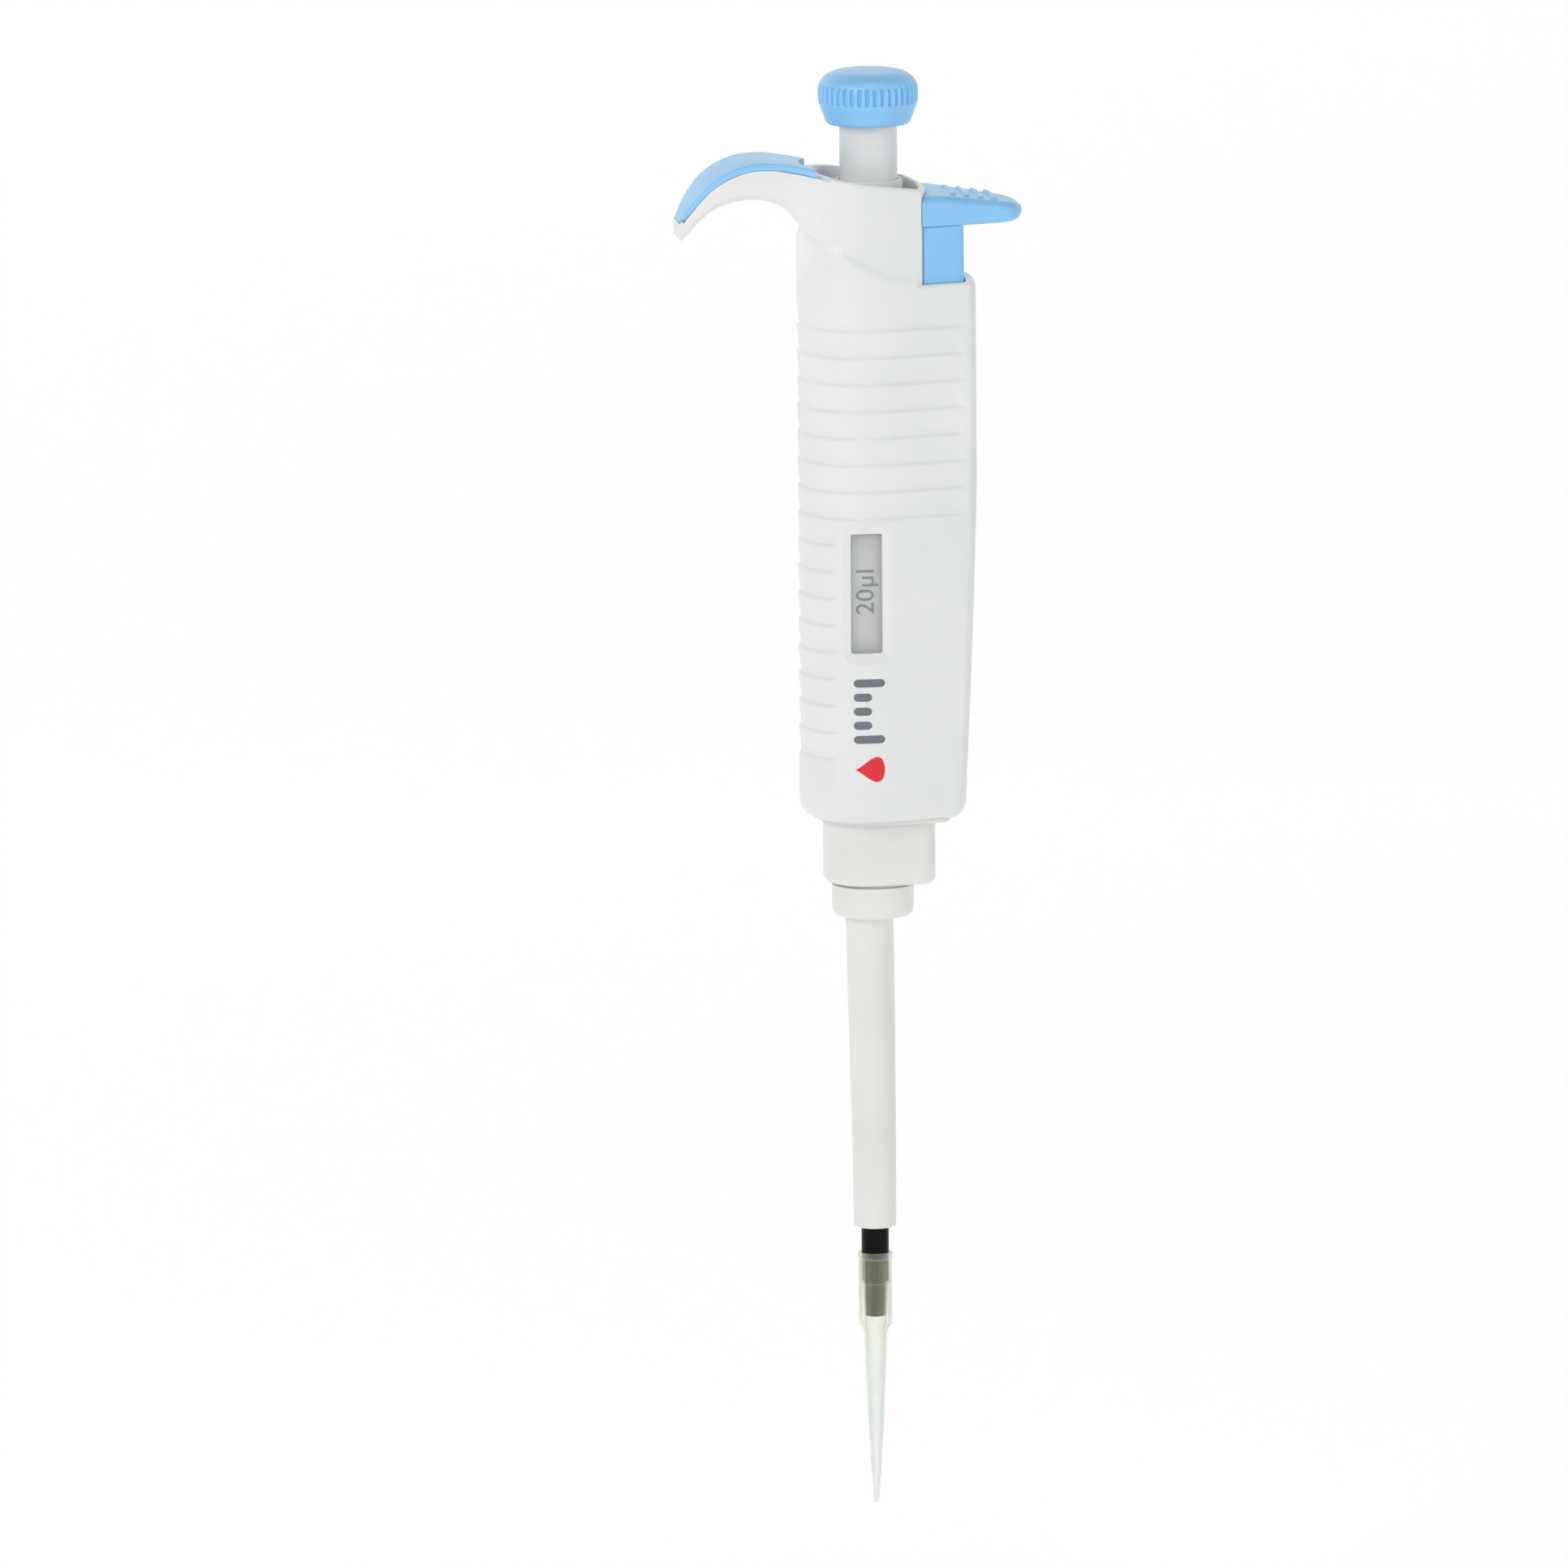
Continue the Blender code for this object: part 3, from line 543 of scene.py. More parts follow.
def build_handle_shell():
    """Join grip, head and hook, then hollow them and cut the openings.

    The seat of the finger pad is cut from the hook first, a hair aside, so that no face of it
    lies in a face of the hook.
    """
    seat = pad_rows(0.06, 1.0, 2.0)
    seat[-1, :4] += (seat[-1, :4] - seat[-2, :4]) * 0.3
    rows = smooth_rows(HOOK, 6)
    hook = carve(band("hook", rows, 0.4, under=rows[:, 5], per_corner=9),
                 ("DIFFERENCE", band("seat", seat + [0.013, 0, 0.013, 0, 0], 0.3)))
    pocket = skin("pocket", slider_rings(0.9, 18.7, HEAD_ARC_R - 2.0, (109.0, SHOULDER + 3.0)))
    hollow = skin("hollow", [level(GRIP.outline(WALL, nose=grip_nose(z) - 0.5), z)
                             for z in (21.5, 35, 50, 66, 88, 116)])
    neck = skin("neck", [level(HEAD.outline(2.3), z) for z in (115.0, 134.0)])
    cup_rings = [level(HEAD.outline(2.0, back_inset=3.6), z) for z in (136.0, 137.0)]
    flare = ((-0.9, 2.0), (-0.5, 1.96), (-0.2, 1.84), (0.1, 1.58), (0.6, 1.0), (5.0, 0.9))
    for rise, inset in flare:
        outline = HEAD.outline(inset, back_inset=inset + 1.6)
        cup_rings.append(level(outline, RIM_LEVEL - RIM_SLOPE * outline[:, 0] + rise))
    cup = skin("cup", cup_rings)
    bore = skin("bore", [level(circle_plan(8.1, 64), z) for z in (133.0, 137.5)])
    foot = skin("foot", [level(END_RING.outline(-0.3), z) for z in (17.0, 23.0)])
    mesh = carve(grip_surface(), ("DIFFERENCE", pocket), ("UNION", head_surface()),
                 ("UNION", hook), ("DIFFERENCE", hollow), ("DIFFERENCE", neck),
                 ("DIFFERENCE", cup), ("DIFFERENCE", bore), ("DIFFERENCE", foot),
                 ("DIFFERENCE", window_cutter()))
    piece = mesh_piece("handle_moulding", mesh, SHELL_WHITE)
    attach(piece, "handle")
    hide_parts("handle_shell")


def circle_plan(radius, count):
    """Regular outline of a circle about the axis."""
    turn = np.linspace(0.0, 2 * math.pi, count, endpoint=False)
    return radius * np.stack([np.cos(turn), np.sin(turn)], axis=1)


build_handle_shell()

# ---- Finger pad ----------------------------------------------------------------------------
# A strip of blue ABS along the top of the hook. It stands proud of the head's rim, curves round
# it, and sinks into the hook towards the hook's end, where it thins out flush with the white.

SLIDE_GAP = 0.12  # clearance of the pad and the ejector from the head


def build_finger_pad():
    """The strip fills the room cut in the hook, and ends in a hollow that goes round the head."""
    head = HEAD.outline(HEAD_PROUD - SLIDE_GAP, fine=2)
    mesh = carve(band("finger_pad", pad_rows(0.0, -0.03, 0.0), 0.45, under=0.15, per_corner=6),
                 ("DIFFERENCE", skin("round_head", [level(head, z) for z in (142.0, 156.0)])))
    piece = mesh_piece("finger_pad", mesh, SKY_BLUE)
    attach(piece, "handle")
    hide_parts("finger_rest_pad")


build_finger_pad()

# ---- Window, volume plate and printed marks ------------------------------------------------
# A clear acrylic pane closes the window. Behind it is a grey plate with the fixed volume printed
# on it. Below the window a plain scale of grey bars and a red drop are printed on the shell.

# Clear acrylic shows little but its reflections. The polystyrene card behind it is matt.
PANE = new_material("clear_acrylic", Base_Color=srgb("#f3f6f6"), IOR=1.49, Roughness=0.06,
                    Alpha=0.14, Coat_Weight=0.6)[0]
GREY_PLATE = moulded_plastic("matt_grey_polystyrene", "#c9cbc7", "#bfc1bd", 0.5, 0.004, 0.0)


def printing_ink(name, colour):
    """Pad-printed ink: flat colour, a little uneven where the film is thin."""
    made, tree, shader = new_material(name, Roughness=0.45, IOR=1.5)
    place = add_node(tree, "ShaderNodeTexCoord").outputs["Object"]
    film = add_node(tree, "ShaderNodeTexNoise", {"Scale": 1 / (0.4 * MM), "Detail": 3.0},
                    {"Vector": place})
    ramp = add_node(tree, "ShaderNodeValToRGB", links={"Fac": film.outputs["Fac"]})
    ramp.color_ramp.elements[0].position, ramp.color_ramp.elements[1].position = 0.35, 0.75
    ramp.color_ramp.elements[0].color = srgb(colour)
    ramp.color_ramp.elements[1].color = tuple(0.96 * c + 0.03 for c in srgb(colour)[:3]) + (1.0,)
    tree.links.new(ramp.outputs["Color"], shader.inputs["Base Color"])
    return made


DARK_INK = printing_ink("dark_grey_ink", "#3c3f3f")
GREY_INK = printing_ink("blue_grey_ink", "#6b707a")
RED_INK = printing_ink("signal_red_ink", "#e0181c")


def rounded_slab(name, low, high, corner, edge):
    """Slab facing -Y with rounded corners, and edges softened by two smaller rings at each face.

    A ring's points are the centre of their corner plus (corner - inset) times (cos t, sin t).
    """
    (x0, y0, z0), (x1, y1, z1) = low, high
    quarter = np.linspace(0.0, math.pi / 2, 6)
    turn = np.concatenate([quarter + k * math.pi / 2 for k in range(4)])
    side_x, side_z = np.repeat([1, -1, -1, 1], 6), np.repeat([1, 1, -1, -1], 6)
    rings = []
    for y, inset in ((y0, edge), (y0 + edge * 0.3, edge * 0.3), (y0 + edge, 0.0),
                     (y1 - edge, 0.0), (y1 - edge * 0.3, edge * 0.3), (y1, edge)):
        x = (x0 + x1) / 2 + side_x * ((x1 - x0) / 2 - corner) + (corner - inset) * np.cos(turn)
        z = (z0 + z1) / 2 + side_z * ((z1 - z0) / 2 - corner) + (corner - inset) * np.sin(turn)
        rings.append(np.column_stack([x, np.full(len(x), y), z]))
    return skin(name, rings)


def build_window():
    """The pane with a gap all round it, and the card, which is larger than the opening."""
    left, right, low, high = WINDOW
    gap = 0.1
    pane = rounded_slab("pane", (left + gap, -12.9, low + gap), (right - gap, -12.0, high - gap),
                        0.45, 0.08)
    piece = mesh_piece("window_glazing", pane, PANE)
    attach(piece, "handle")
    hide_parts("window_pane")
    plate = rounded_slab("plate", (-6.6, -10.6, 49.5), (1.4, -9.8, 82.0), 0.6, 0.1)
    piece = mesh_piece("volume_card", plate, GREY_PLATE)
    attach(piece, "handle")
    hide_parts("volume_plate")


def build_volume_legend():
    """The fixed volume in plain figures, turned to read upwards, just proud of the plate."""
    curve = bpy.data.curves.new("legend", "FONT")
    curve.body = "20µl"
    curve.size = 5.1 * MM
    curve.space_character = 1.02
    curve.extrude = 0.02 * MM
    curve.offset = 0.02 * MM
    curve.align_x, curve.align_y = "CENTER", "CENTER"
    shape = bpy.data.objects.new("legend_curve", curve)
    bpy.context.scene.collection.objects.link(shape)
    graph = bpy.context.evaluated_depsgraph_get()
    mesh = bpy.data.meshes.new_from_object(shape.evaluated_get(graph), depsgraph=graph)
    bpy.data.objects.remove(shape)
    stand = Matrix.Rotation(math.pi / 2, 4, "X")
    upward = Matrix.Rotation(math.pi / 2, 4, "Z")
    mesh.transform(Matrix.Translation(Vector((-2.55, -10.65, 66.2)) * MM) @ stand @ upward)
    piece = mesh_piece("volume_legend", mesh, DARK_INK)
    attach(piece, "handle")


def printed_patch(name, centre_z, x, half_height, ink):
    """Film of ink on the belly: at each x it reaches half_height up and down from its centre."""
    axis = np.where(x < GRIP.belly_x, GRIP.back, GRIP.front)
    belly = -GRIP.half * np.sqrt(1.0 - ((x - GRIP.belly_x) / axis) ** 2)
    out, rooted = belly - 0.025, belly + 0.3
    low, high = centre_z - half_height, centre_z + half_height
    rings = np.stack([np.column_stack([x, out, low]), np.column_stack([x, out, high]),
                      np.column_stack([x, rooted, high]), np.column_stack([x, rooted, low])],
                     axis=1)
    piece = mesh_piece(name, skin(name, rings), ink)
    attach(piece, "handle")


def build_marks():
    """Five bars with round ends, and a drop whose outline is r sin(t) by (1 - cos(t)) sin(t)."""
    left, bar_half = -5.5, 0.8
    for i, length in enumerate((6.2, 3.6, 3.6, 3.6, 6.2)):
        x = left + length * (1 - np.cos(np.linspace(0.0, math.pi, 15))) / 2
        from_end = np.minimum(x - left, left + length - x)
        round_end = np.sqrt(np.clip(1.0 - (1.0 - from_end / bar_half) ** 2, 0.02, 1.0))
        half = bar_half * np.where(from_end < bar_half, round_end, 1.0)
        printed_patch(f"scale_bar_{i}", 37.2 + 2.8 * i, x, half, GREY_INK)
    turn = np.linspace(0.12, math.pi - 0.08, 24)
    half = 2.5 * np.sin(turn) * (1 - np.cos(turn)) / 1.3
    printed_patch("printed_drop", 31.2, left + 3.1 - 3.0 * np.cos(turn), half, RED_INK)


build_window()
build_volume_legend()
build_marks()

# ---- Turned pieces: end ring, calibration nut, stem ----------------------------------------
# Off-white polypropylene and acetal pieces that are turned or moulded round the axis. Every
# corner has the small radius that a mould leaves.

CUP = Plan(-0.8, 9.0, 12.0, 9.0, math.radians(6.0), 12.2, 30.0, 3.5)


def block(low, high):
    """Box between two corners, as two square rings."""
    x0, y0, z0 = low
    x1, y1, z1 = high
    plan = np.array([(x0, y0), (x1, y0), (x1, y1), (x0, y1)], float)
    return skin("block", [level(plan, z0), level(plan, z1)])


def soft_profile(points, cut, steps=4):
    """Closed outline with each corner replaced by a quadratic curve that starts a cut before it.

    With a corner p, its start a and its end b, a point is (1-s)^2 a + 2 s (1-s) p + s^2 b.
    """
    points = np.asarray(points, float)
    cut = np.broadcast_to(np.asarray(cut, float), len(points))[:, None]
    back, ahead = np.roll(points, 1, axis=0) - points, np.roll(points, -1, axis=0) - points
    back_length = np.linalg.norm(back, axis=1)[:, None]
    ahead_length = np.linalg.norm(ahead, axis=1)[:, None]
    start = points + back * np.minimum(cut / back_length, 0.48)
    end = points + ahead * np.minimum(cut / ahead_length, 0.48)
    s = np.linspace(0.0, 1.0, steps + 1)[None, :, None]
    curve = ((1 - s) ** 2 * start[:, None] + 2 * s * (1 - s) * points[:, None]
             + s ** 2 * end[:, None])
    return curve.reshape(-1, 2)


def turned(name, profile, columns=96):
    """Closed profile of radius and height carried round the axis: r cos t, r sin t, z."""
    turn = np.linspace(0.0, 2 * math.pi, columns, endpoint=False)
    radius, height = profile[:, 0:1], profile[:, 1:2]
    rings = np.stack([radius * np.cos(turn), radius * np.sin(turn),
                      np.broadcast_to(height, (len(profile), columns))], axis=2)
    return skin(name, rings, loop=True)


def build_end_ring():
    """Thin ring let into the grip's foot, with a hole in which the housing slides."""
    outer = [level(END_RING.outline(inset, fine=2), z)
             for z, inset in ((19.3, 0.25), (19.37, 0.07), (19.5, 0.0), (20.9, 0.0), (21.0, 0.1))]
    inner = [level(CUP.outline(-0.3, fine=2), z) for z in (17.0, 24.0)]
    mesh = carve(skin("end_ring", outer), ("DIFFERENCE", skin("end_ring_hole", inner)))
    piece = mesh_piece("foot_ring", mesh, FITTING_WHITE)
    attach(piece, "handle")
    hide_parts("end_ring")


def build_calibration_nut():
    """Turned collar round the stem, with two slots across its top for the key."""
    profile = soft_profile([(6.7, 146.7), (6.7, 141.5), (7.6, 141.5), (7.6, 139.8), (6.0, 139.8),
                            (6.0, 146.7)], [0.25, 0.1, 0.15, 0.15, 0.1, 0.2])
    slots = [("DIFFERENCE", block((x0, -0.7, 145.5), (x1, 0.7, 148.0)))
             for x0, x1 in ((-9.0, -3.0), (3.0, 9.0))]
    piece = mesh_piece("adjusting_nut", carve(turned("nut", profile), *slots), FITTING_WHITE)
    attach(piece, "handle")
    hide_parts("calibration_nut")


def build_stem():
    """Turned sleeve on the rod, from inside the button down into the nut."""
    profile = soft_profile([(5.7, 160.5), (5.7, 132.0), (1.8, 132.0), (1.8, 160.5)], 0.2)
    piece = mesh_piece("stem_sleeve", turned("stem", profile), SHELL_WHITE)
    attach(piece, "plunger")
    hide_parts("plunger_stem")


build_end_ring()
build_calibration_nut()
build_stem()

# ---- Plunger button ------------------------------------------------------------------------
# Blue ABS thumb knob pressed on the rod: nearly flat top, rounded shoulder, a band of narrow
# flutes for turning it with two fingers, and a smooth cone below.

FLUTES, FLUTE_DEPTH = 40, 0.55


def build_button():
    """Turned knob whose radius is cut back by evenly spaced slots with soft ends."""
    outside = np.array([(1.5, 168.3), (3.5, 168.28), (5.4, 168.18), (6.7, 167.95), (7.9, 167.45),
                        (8.85, 166.75), (9.5, 165.8), (9.8, 164.8), (9.85, 163.6), (9.83, 162.6),
                        (9.68, 161.7), (9.35, 160.8), (8.95, 159.7), (8.6, 158.7), (8.4, 158.15),
                        (8.05, 157.75)])
    outside = smooth_rows(outside, 5)
    inside = np.array([(7.6, 157.7), (6.1, 157.7), (6.0, 157.9), (6.0, 160.9), (3.0, 160.9)])
    profile = np.vstack([outside, inside])
    turn = np.linspace(0.0, 2 * math.pi, FLUTES * 10, endpoint=False)
    slot = smooth_step(np.cos(FLUTES * turn), -0.05, 0.6)
    height = profile[:, 1:2]
    band_mask = smooth_step(height, 161.9, 162.3) * smooth_step(-height, -165.7, -165.2)
    band_mask[len(outside):] = 0.0
    radius = profile[:, 0:1] - FLUTE_DEPTH * band_mask * slot
    rings = np.stack([radius * np.cos(turn), radius * np.sin(turn),
                      np.broadcast_to(height, radius.shape)], axis=2)
    piece = mesh_piece("thumb_knob", skin("thumb_knob", rings), SKY_BLUE, smooth_angle=40.0)
    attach(piece, "button")
    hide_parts("plunger_button")


build_button()

# ---- Ejector: lever, slider, cup and sleeve ------------------------------------------------
# Pressing the blue lever slides the blue stem, the steel bar behind it, the off-white cup and
# the long sleeve down together. The lever has four ribs for the thumb's side.

LEVER = np.array([
    (8.0, 138.0, 8.0, 144.1, 11.35), (13.0, 138.0, 13.0, 144.1, 10.1),
    (18.5, 138.0, 18.5, 143.3, 8.8), (24.7, 138.05, 24.7, 142.4, 7.3),
    (27.6, 138.2, 27.6, 141.9, 6.3), (29.0, 138.6, 29.0, 141.4, 5.0),
    (29.8, 139.1, 29.8, 140.9, 3.5), (30.08, 139.6, 30.08, 140.4, 2.0)])
LEVER_RIBS = (16.4, 19.1, 21.9, 24.6)


def lever_rib(x):
    """Low rounded bar across the lever's top, swept back as 0.018 y^2, with rounded ends."""
    half, thick = 6.2, 0.62
    across = half * np.sin(np.linspace(-math.pi / 2, math.pi / 2, 25))
    middle = x - 0.018 * across ** 2
    top = np.interp(middle, LEVER[:, 0], LEVER[:, 3])
    reach = np.clip((half - np.abs(across)) / thick, 0.02, 1.0)
    radius = thick * np.sqrt(1.0 - (1.0 - reach) ** 2)
    turn = np.linspace(0.0, 2 * math.pi, 16, endpoint=False)
    rings = np.stack([middle[:, None] + radius[:, None] * np.cos(turn),
                      np.broadcast_to(across[:, None], (len(across), 16)),
                      top[:, None] - 0.1 + radius[:, None] * np.sin(turn)], axis=2)
    return skin("rib", rings)


def build_lever():
    """Tapering bar with its ribs, cut to the arc in front of the head."""
    arc = circle_plan(HEAD_ARC_R + SLIDE_GAP, 360) + [HEAD_ARC_X, 0.0]
    body = band("lever", smooth_rows(LEVER, 5), 1.9, under=1.0, per_corner=8)
    mesh = carve(body, *[("UNION", lever_rib(x)) for x in LEVER_RIBS],
                 ("DIFFERENCE", skin("head_arc", [level(arc, z) for z in (130.0, 150.0)])))
    piece = mesh_piece("thumb_lever", mesh, SKY_BLUE)
    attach(piece, "ejector")
    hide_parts("ejector_lever")


def build_slider():
    """Block behind the lever, with a narrower foot inside the grip that holds the bar."""
    wide = skin("slider", slider_rings(1.2, 18.4, HEAD_ARC_R + SLIDE_GAP, (118.0, 137.9, 138.0),
                                       fine=3))
    narrow = skin("slider_foot", slider_rings(2.4, 17.9, HEAD_ARC_R + 0.4, (104.0, 119.0)))
    mesh = carve(wide, ("UNION", narrow), ("UNION", block((8.3, -3.0, 104.01), (14.5, 3.0, 107.5))))
    piece = mesh_piece("ejector_slider", mesh, SKY_BLUE)
    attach(piece, "ejector")
    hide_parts("ejector_stem")


def build_cup():
    """Housing with the plan of the foot ring, drawn in round its foot by r (1 - sin t)."""
    foot, rounding, wall = 6.75, 1.6, 1.2
    turn = np.linspace(0.0, math.pi / 2, 7)
    rings = [level(CUP.outline(rounding * (1 - math.sin(a)), fine=2),
                   foot + rounding * (1 - math.cos(a))) for a in turn]
    rings += [level(CUP.outline(0.0, fine=2), z) for z in (16.0, 28.8)]
    rings.append(level(CUP.outline(0.2, fine=2), 29.0))
    inside = skin("cup_inside", [level(CUP.outline(wall), z) for z in (foot + wall, 31.0)])
    bore = skin("cup_bore", [level(circle_plan(7.6, 72), z) for z in (foot - 2.0, foot + 3.0)])
    mesh = carve(skin("cup", rings), ("DIFFERENCE", inside), ("DIFFERENCE", bore))
    piece = mesh_piece("ejector_housing", mesh, FITTING_WHITE)
    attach(piece, "ejector")
    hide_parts("ejector_cup")


def build_sleeve():
    """Turned collar and sleeve: r cos t + shift, r sin t, z.

    The sleeve's outside stands off the axis by up to 0.72 mm at its top, and runs true lower down.
    """
    profile = soft_profile(
        [(7.3, 12.0), (7.3, 6.3), (8.1, 6.3), (8.1, 0.0), (4.72, 0.0), (4.64, -18.0),
         (4.42, -38.0), (4.18, -62.5), (3.3, -62.5), (3.3, -1.0), (6.7, 2.4), (6.7, 12.0)],
        [0.2, 0.05, 0.3, 1.9, 0.12, 5.0, 5.0, 0.7, 0.1, 0.5, 0.5, 0.2], steps=7)
    off_axis = np.where((profile[:, 0] < 5.5) & (profile[:, 0] > 3.4),
                        -0.72 * np.clip(1 + profile[:, 1] / 55.0, 0.0, 1.0) ** 1.3, 0.0)
    turn = np.linspace(0.0, 2 * math.pi, 96, endpoint=False)
    rings = np.stack([profile[:, 0:1] * np.cos(turn) + off_axis[:, None],
                      profile[:, 0:1] * np.sin(turn),
                      np.broadcast_to(profile[:, 1:2], (len(profile), 96))], axis=2)
    piece = mesh_piece("ejector_barrel", skin("sleeve", rings, loop=True), FITTING_WHITE)
    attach(piece, "ejector")
    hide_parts("ejector_sleeve")


build_lever()
build_slider()
build_cup()
build_sleeve()

# ---- Tip cone ------------------------------------------------------------------------------
# Black fluoropolymer nozzle, turned all over, with a hexagon by which it screws into the handle.
# The stepped end holds the tip by friction, and the piston runs in the bore.

# Fluoropolymer is dense and smooth, and reflects little.
CONE_BLACK = moulded_plastic("glossy_black_pvdf", "#0b0b0a", "#080808", 0.3, 0.003, 0.0,
                             specular=0.1)


def build_cone():
    """Turned nozzle joined with its hexagon, which is bored so that it only adds a rim."""
    profile = soft_profile(
        [(5.9, 30.0), (5.9, 16.0), (5.0, 16.0), (5.0, 13.6), (3.0, 12.6), (3.0, -59.0),
         (2.72, -61.0), (2.72, -67.8), (2.6, -68.0), (2.6, -73.4), (2.15, -73.8), (1.95, -80.5),
         (1.3, -80.5), (1.3, 28.5), (2.55, 28.5), (2.55, 30.0)], 0.12)
    hexagon = circle_plan(6.35, 6)
    nut = skin("hexagon", [level(hexagon, z) for z in (14.6, 17.8)])
    nut = carve(nut, ("DIFFERENCE", skin("hexagon_bore", [level(circle_plan(4.0, 24), z)
                                                          for z in (12.0, 20.0)])))
    mesh = carve(turned("cone", profile, columns=72), ("UNION", nut))
    piece = mesh_piece("nozzle", mesh, CONE_BLACK)
    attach(piece, "handle")
    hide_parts("tip_cone")


build_cone()

# ---- Disposable tip ------------------------------------------------------------------------
# Thin-walled translucent polypropylene with a faint yellow-green tint. Eight fins stiffen the
# collar, and the slim cone below is nearly clear.

FINS = 8


def tip_polypropylene():
    """Clear at a right angle to the wall, denser at its edges, tinted most in the collar.

    Opacity = 0.6 facing + haze, where facing is 0 straight on and 1 at the edge.
    """
    made, tree, shader = new_material("translucent_polypropylene", IOR=1.49, Roughness=0.22,
                                      Coat_Weight=0.4, Coat_Roughness=0.1)
    place = add_node(tree, "ShaderNodeTexCoord").outputs["Object"]
    height = add_node(tree, "ShaderNodeSeparateXYZ", links={"Vector": place}).outputs["Z"]
    share = add_node(tree, "ShaderNodeMapRange",
                     {"From Min": -0.094, "From Max": -0.081}, {"Value": height})
    tint = add_node(tree, "ShaderNodeValToRGB", links={"Fac": share.outputs["Result"]})
    tint.color_ramp.elements[0].color = srgb("#dde6dc")
    tint.color_ramp.elements[1].color = srgb("#dde3c6")
    facing = add_node(tree, "ShaderNodeLayerWeight", {"Blend": 0.35}).outputs["Facing"]
    cloud = add_node(tree, "ShaderNodeTexNoise", {"Scale": 1 / (3 * MM), "Detail": 3.0},
                     {"Vector": place})
    haze = add_node(tree, "ShaderNodeMapRange", {"To Min": 0.07, "To Max": 0.10},
                    {"Value": cloud.outputs["Fac"]})
    thin = add_node(tree, "ShaderNodeMapRange", {"To Min": 0.06, "To Max": 0.0},
                    {"Value": share.outputs["Result"]})
    cover = add_node(tree, "ShaderNodeMath", {"operation": "ADD"})
    tree.links.new(haze.outputs["Result"], cover.inputs[0])
    tree.links.new(thin.outputs["Result"], cover.inputs[1])
    edge = add_node(tree, "ShaderNodeMath", {"operation": "MULTIPLY_ADD"})
    tree.links.new(facing, edge.inputs[0])
    edge.inputs[1].default_value = 0.6
    tree.links.new(cover.outputs["Value"], edge.inputs[2])
    tree.links.new(tint.outputs["Color"], shader.inputs["Base Color"])
    tree.links.new(edge.outputs["Value"], shader.inputs["Alpha"])
    return made


TIP_CLEAR = tip_polypropylene()


def build_tip():
    """Turned wall, r cos t, r sin t, z, with fins added to the collar's radius as narrow ridges."""
    profile = soft_profile(
        [(3.5, -67.7), (3.5, -68.8), (3.12, -69.1), (3.0, -81.6), (2.5, -83.2), (2.32, -84.0),
         (1.9, -93.8), (1.47, -103.5), (0.9, -113.2), (0.45, -118.1), (0.25, -118.1),
         (0.62, -113.2), (1.15, -103.5), (1.58, -93.8), (1.95, -84.0), (2.25, -80.8),
         (2.5, -74.2), (2.9, -73.7), (2.9, -67.7)],
        [0.2, 0.15, 0.1, 0.6, 0.3, 0.3, 2.0, 2.0, 2.0, 0.05, 0.05, 2.0, 2.0, 2.0, 0.2, 0.2, 0.1,
         0.1, 0.1])
    columns = FINS * 14
    turn = np.linspace(0.0, 2 * math.pi, columns, endpoint=False)
    radius, height = profile[:, 0:1], profile[:, 1:2]
    collar = smooth_step(height, -83.2, -82.2) * smooth_step(-height, 69.0, 69.3)
    outer = (radius > 2.3) & (np.arange(len(profile))[:, None] < len(profile) // 2)
    fin = smooth_step(np.cos(FINS * turn), 0.72, 0.97)
    reach = np.clip(3.34 - radius, 0.0, 1.0) * collar * outer
    swollen = radius + reach * fin
    rings = np.stack([swollen * np.cos(turn), swollen * np.sin(turn),
                      np.broadcast_to(height, swollen.shape)], axis=2)
    piece = mesh_piece("tip_200", skin("tip", rings, loop=True), TIP_CLEAR, smooth_angle=50.0)
    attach(piece, "tip")
    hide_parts("pipette_tip")


build_tip()

# ---- Inner works ---------------------------------------------------------------------------
# Springs, rod, piston and seats keep the shapes they have in the frame. They get drawn or
# turned steel, black rubber and the off-white of the other fittings.


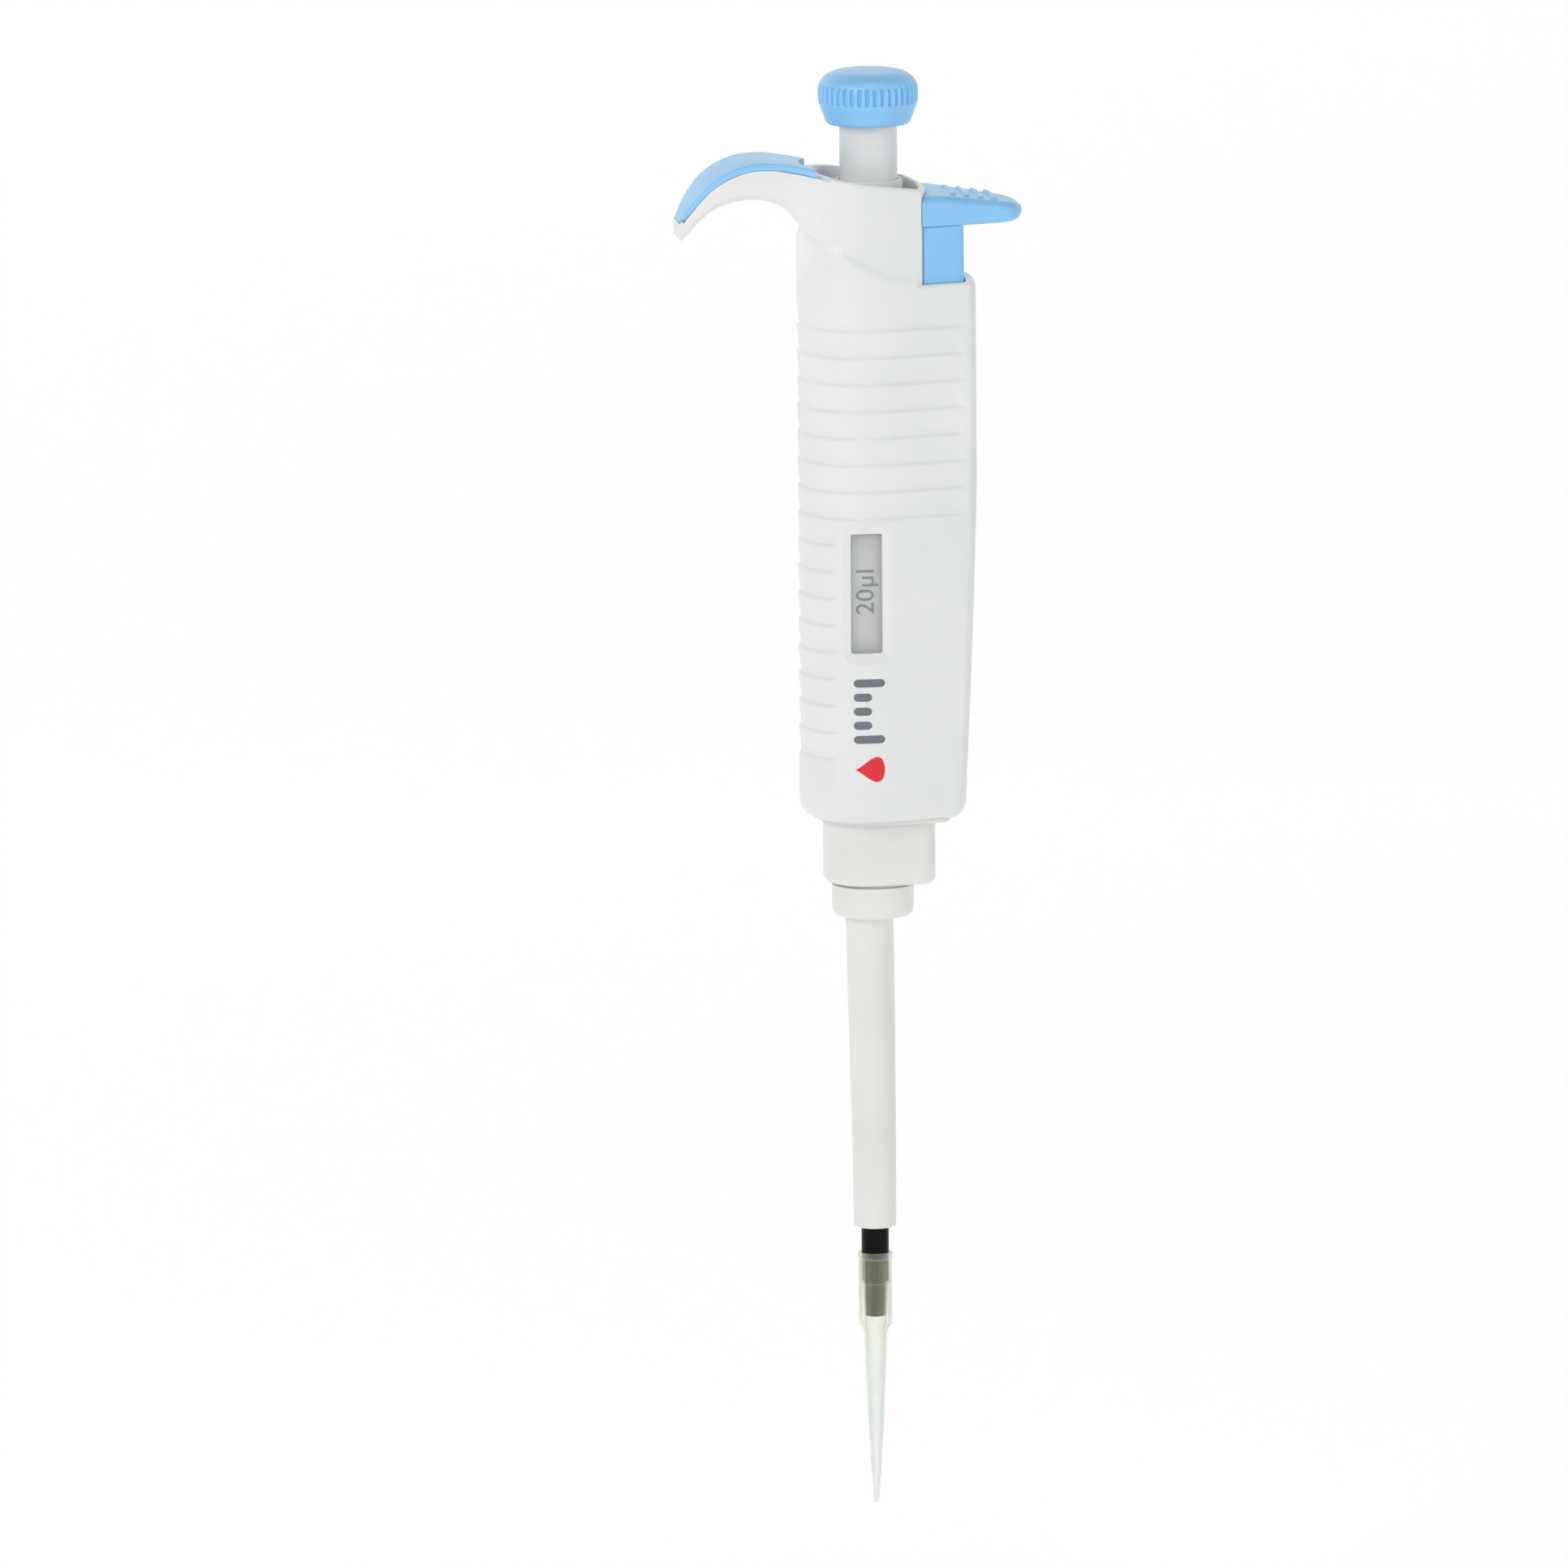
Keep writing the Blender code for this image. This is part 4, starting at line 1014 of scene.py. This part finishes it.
def drawn_steel():
    """Bright drawn steel: fine lines along the axis, 0.2 mm apart, with uneven gloss."""
    made, tree, shader = new_material("bright_drawn_steel", Metallic=1.0)
    place = add_node(tree, "ShaderNodeTexCoord").outputs["Object"]
    along = add_node(tree, "ShaderNodeMapping", {"Scale": (1.0, 1.0, 0.04)}, {"Vector": place})
    lines = add_node(tree, "ShaderNodeTexNoise", {"Scale": 1 / (0.2 * MM), "Detail": 2.0},
                     {"Vector": along.outputs["Vector"]})
    gloss = add_node(tree, "ShaderNodeMapRange", {"To Min": 0.2, "To Max": 0.42},
                     {"Value": lines.outputs["Fac"]})
    tone = add_node(tree, "ShaderNodeValToRGB", links={"Fac": lines.outputs["Fac"]})
    tone.color_ramp.elements[0].color = srgb("#a9aaaa")
    tone.color_ramp.elements[1].color = srgb("#cfcfce")
    tree.links.new(gloss.outputs["Result"], shader.inputs["Roughness"])
    tree.links.new(tone.outputs["Color"], shader.inputs["Base Color"])
    return made


STEEL = drawn_steel()
# Nitrile rubber is matt and nearly black.
RUBBER = moulded_plastic("nitrile_rubber", "#262626", "#1e1e1e", 0.65, 0.01, 0.0)
INNER_FINISH = (
    (STEEL, ("push_rod", "piston", "stop_collar", "blowout_washer", "seal_retainer",
             "ejector_bar")),
    (FITTING_WHITE, ("chassis_tube", "piston_spring_seat", "blowout_seat", "stem_flange",
                     "piston_holder", "ejector_spring_bracket")),
    (RUBBER, ("o_ring",)),
)
for finish, names in INNER_FINISH:
    for name in names:
        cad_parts[name].data.materials.clear()
        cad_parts[name].data.materials.append(finish)

# Spring: the joint that presses it, the height of its fixed end, and its travel
SPRINGS = {"piston_spring": ("plunger_press", 95.3, 9.5),
           "blowout_spring": ("blowout_press", 68.0, 2.5),
           "ejector_spring": ("eject_press", 84.0, 8.5)}


def build_spring(node, joint, seat, travel):
    """Coils of a spring, copied from the frame's mesh and hung on the handle with their shape as it
    is.
    """
    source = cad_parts[node]
    mesh = source.data.copy()
    mesh.transform(source.matrix_world)
    piece = mesh_piece(f"{node}_coils", mesh, STEEL)
    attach(piece, "handle")
    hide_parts(node)
    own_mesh(piece)


for spring, motion in SPRINGS.items():
    build_spring(spring, *motion)
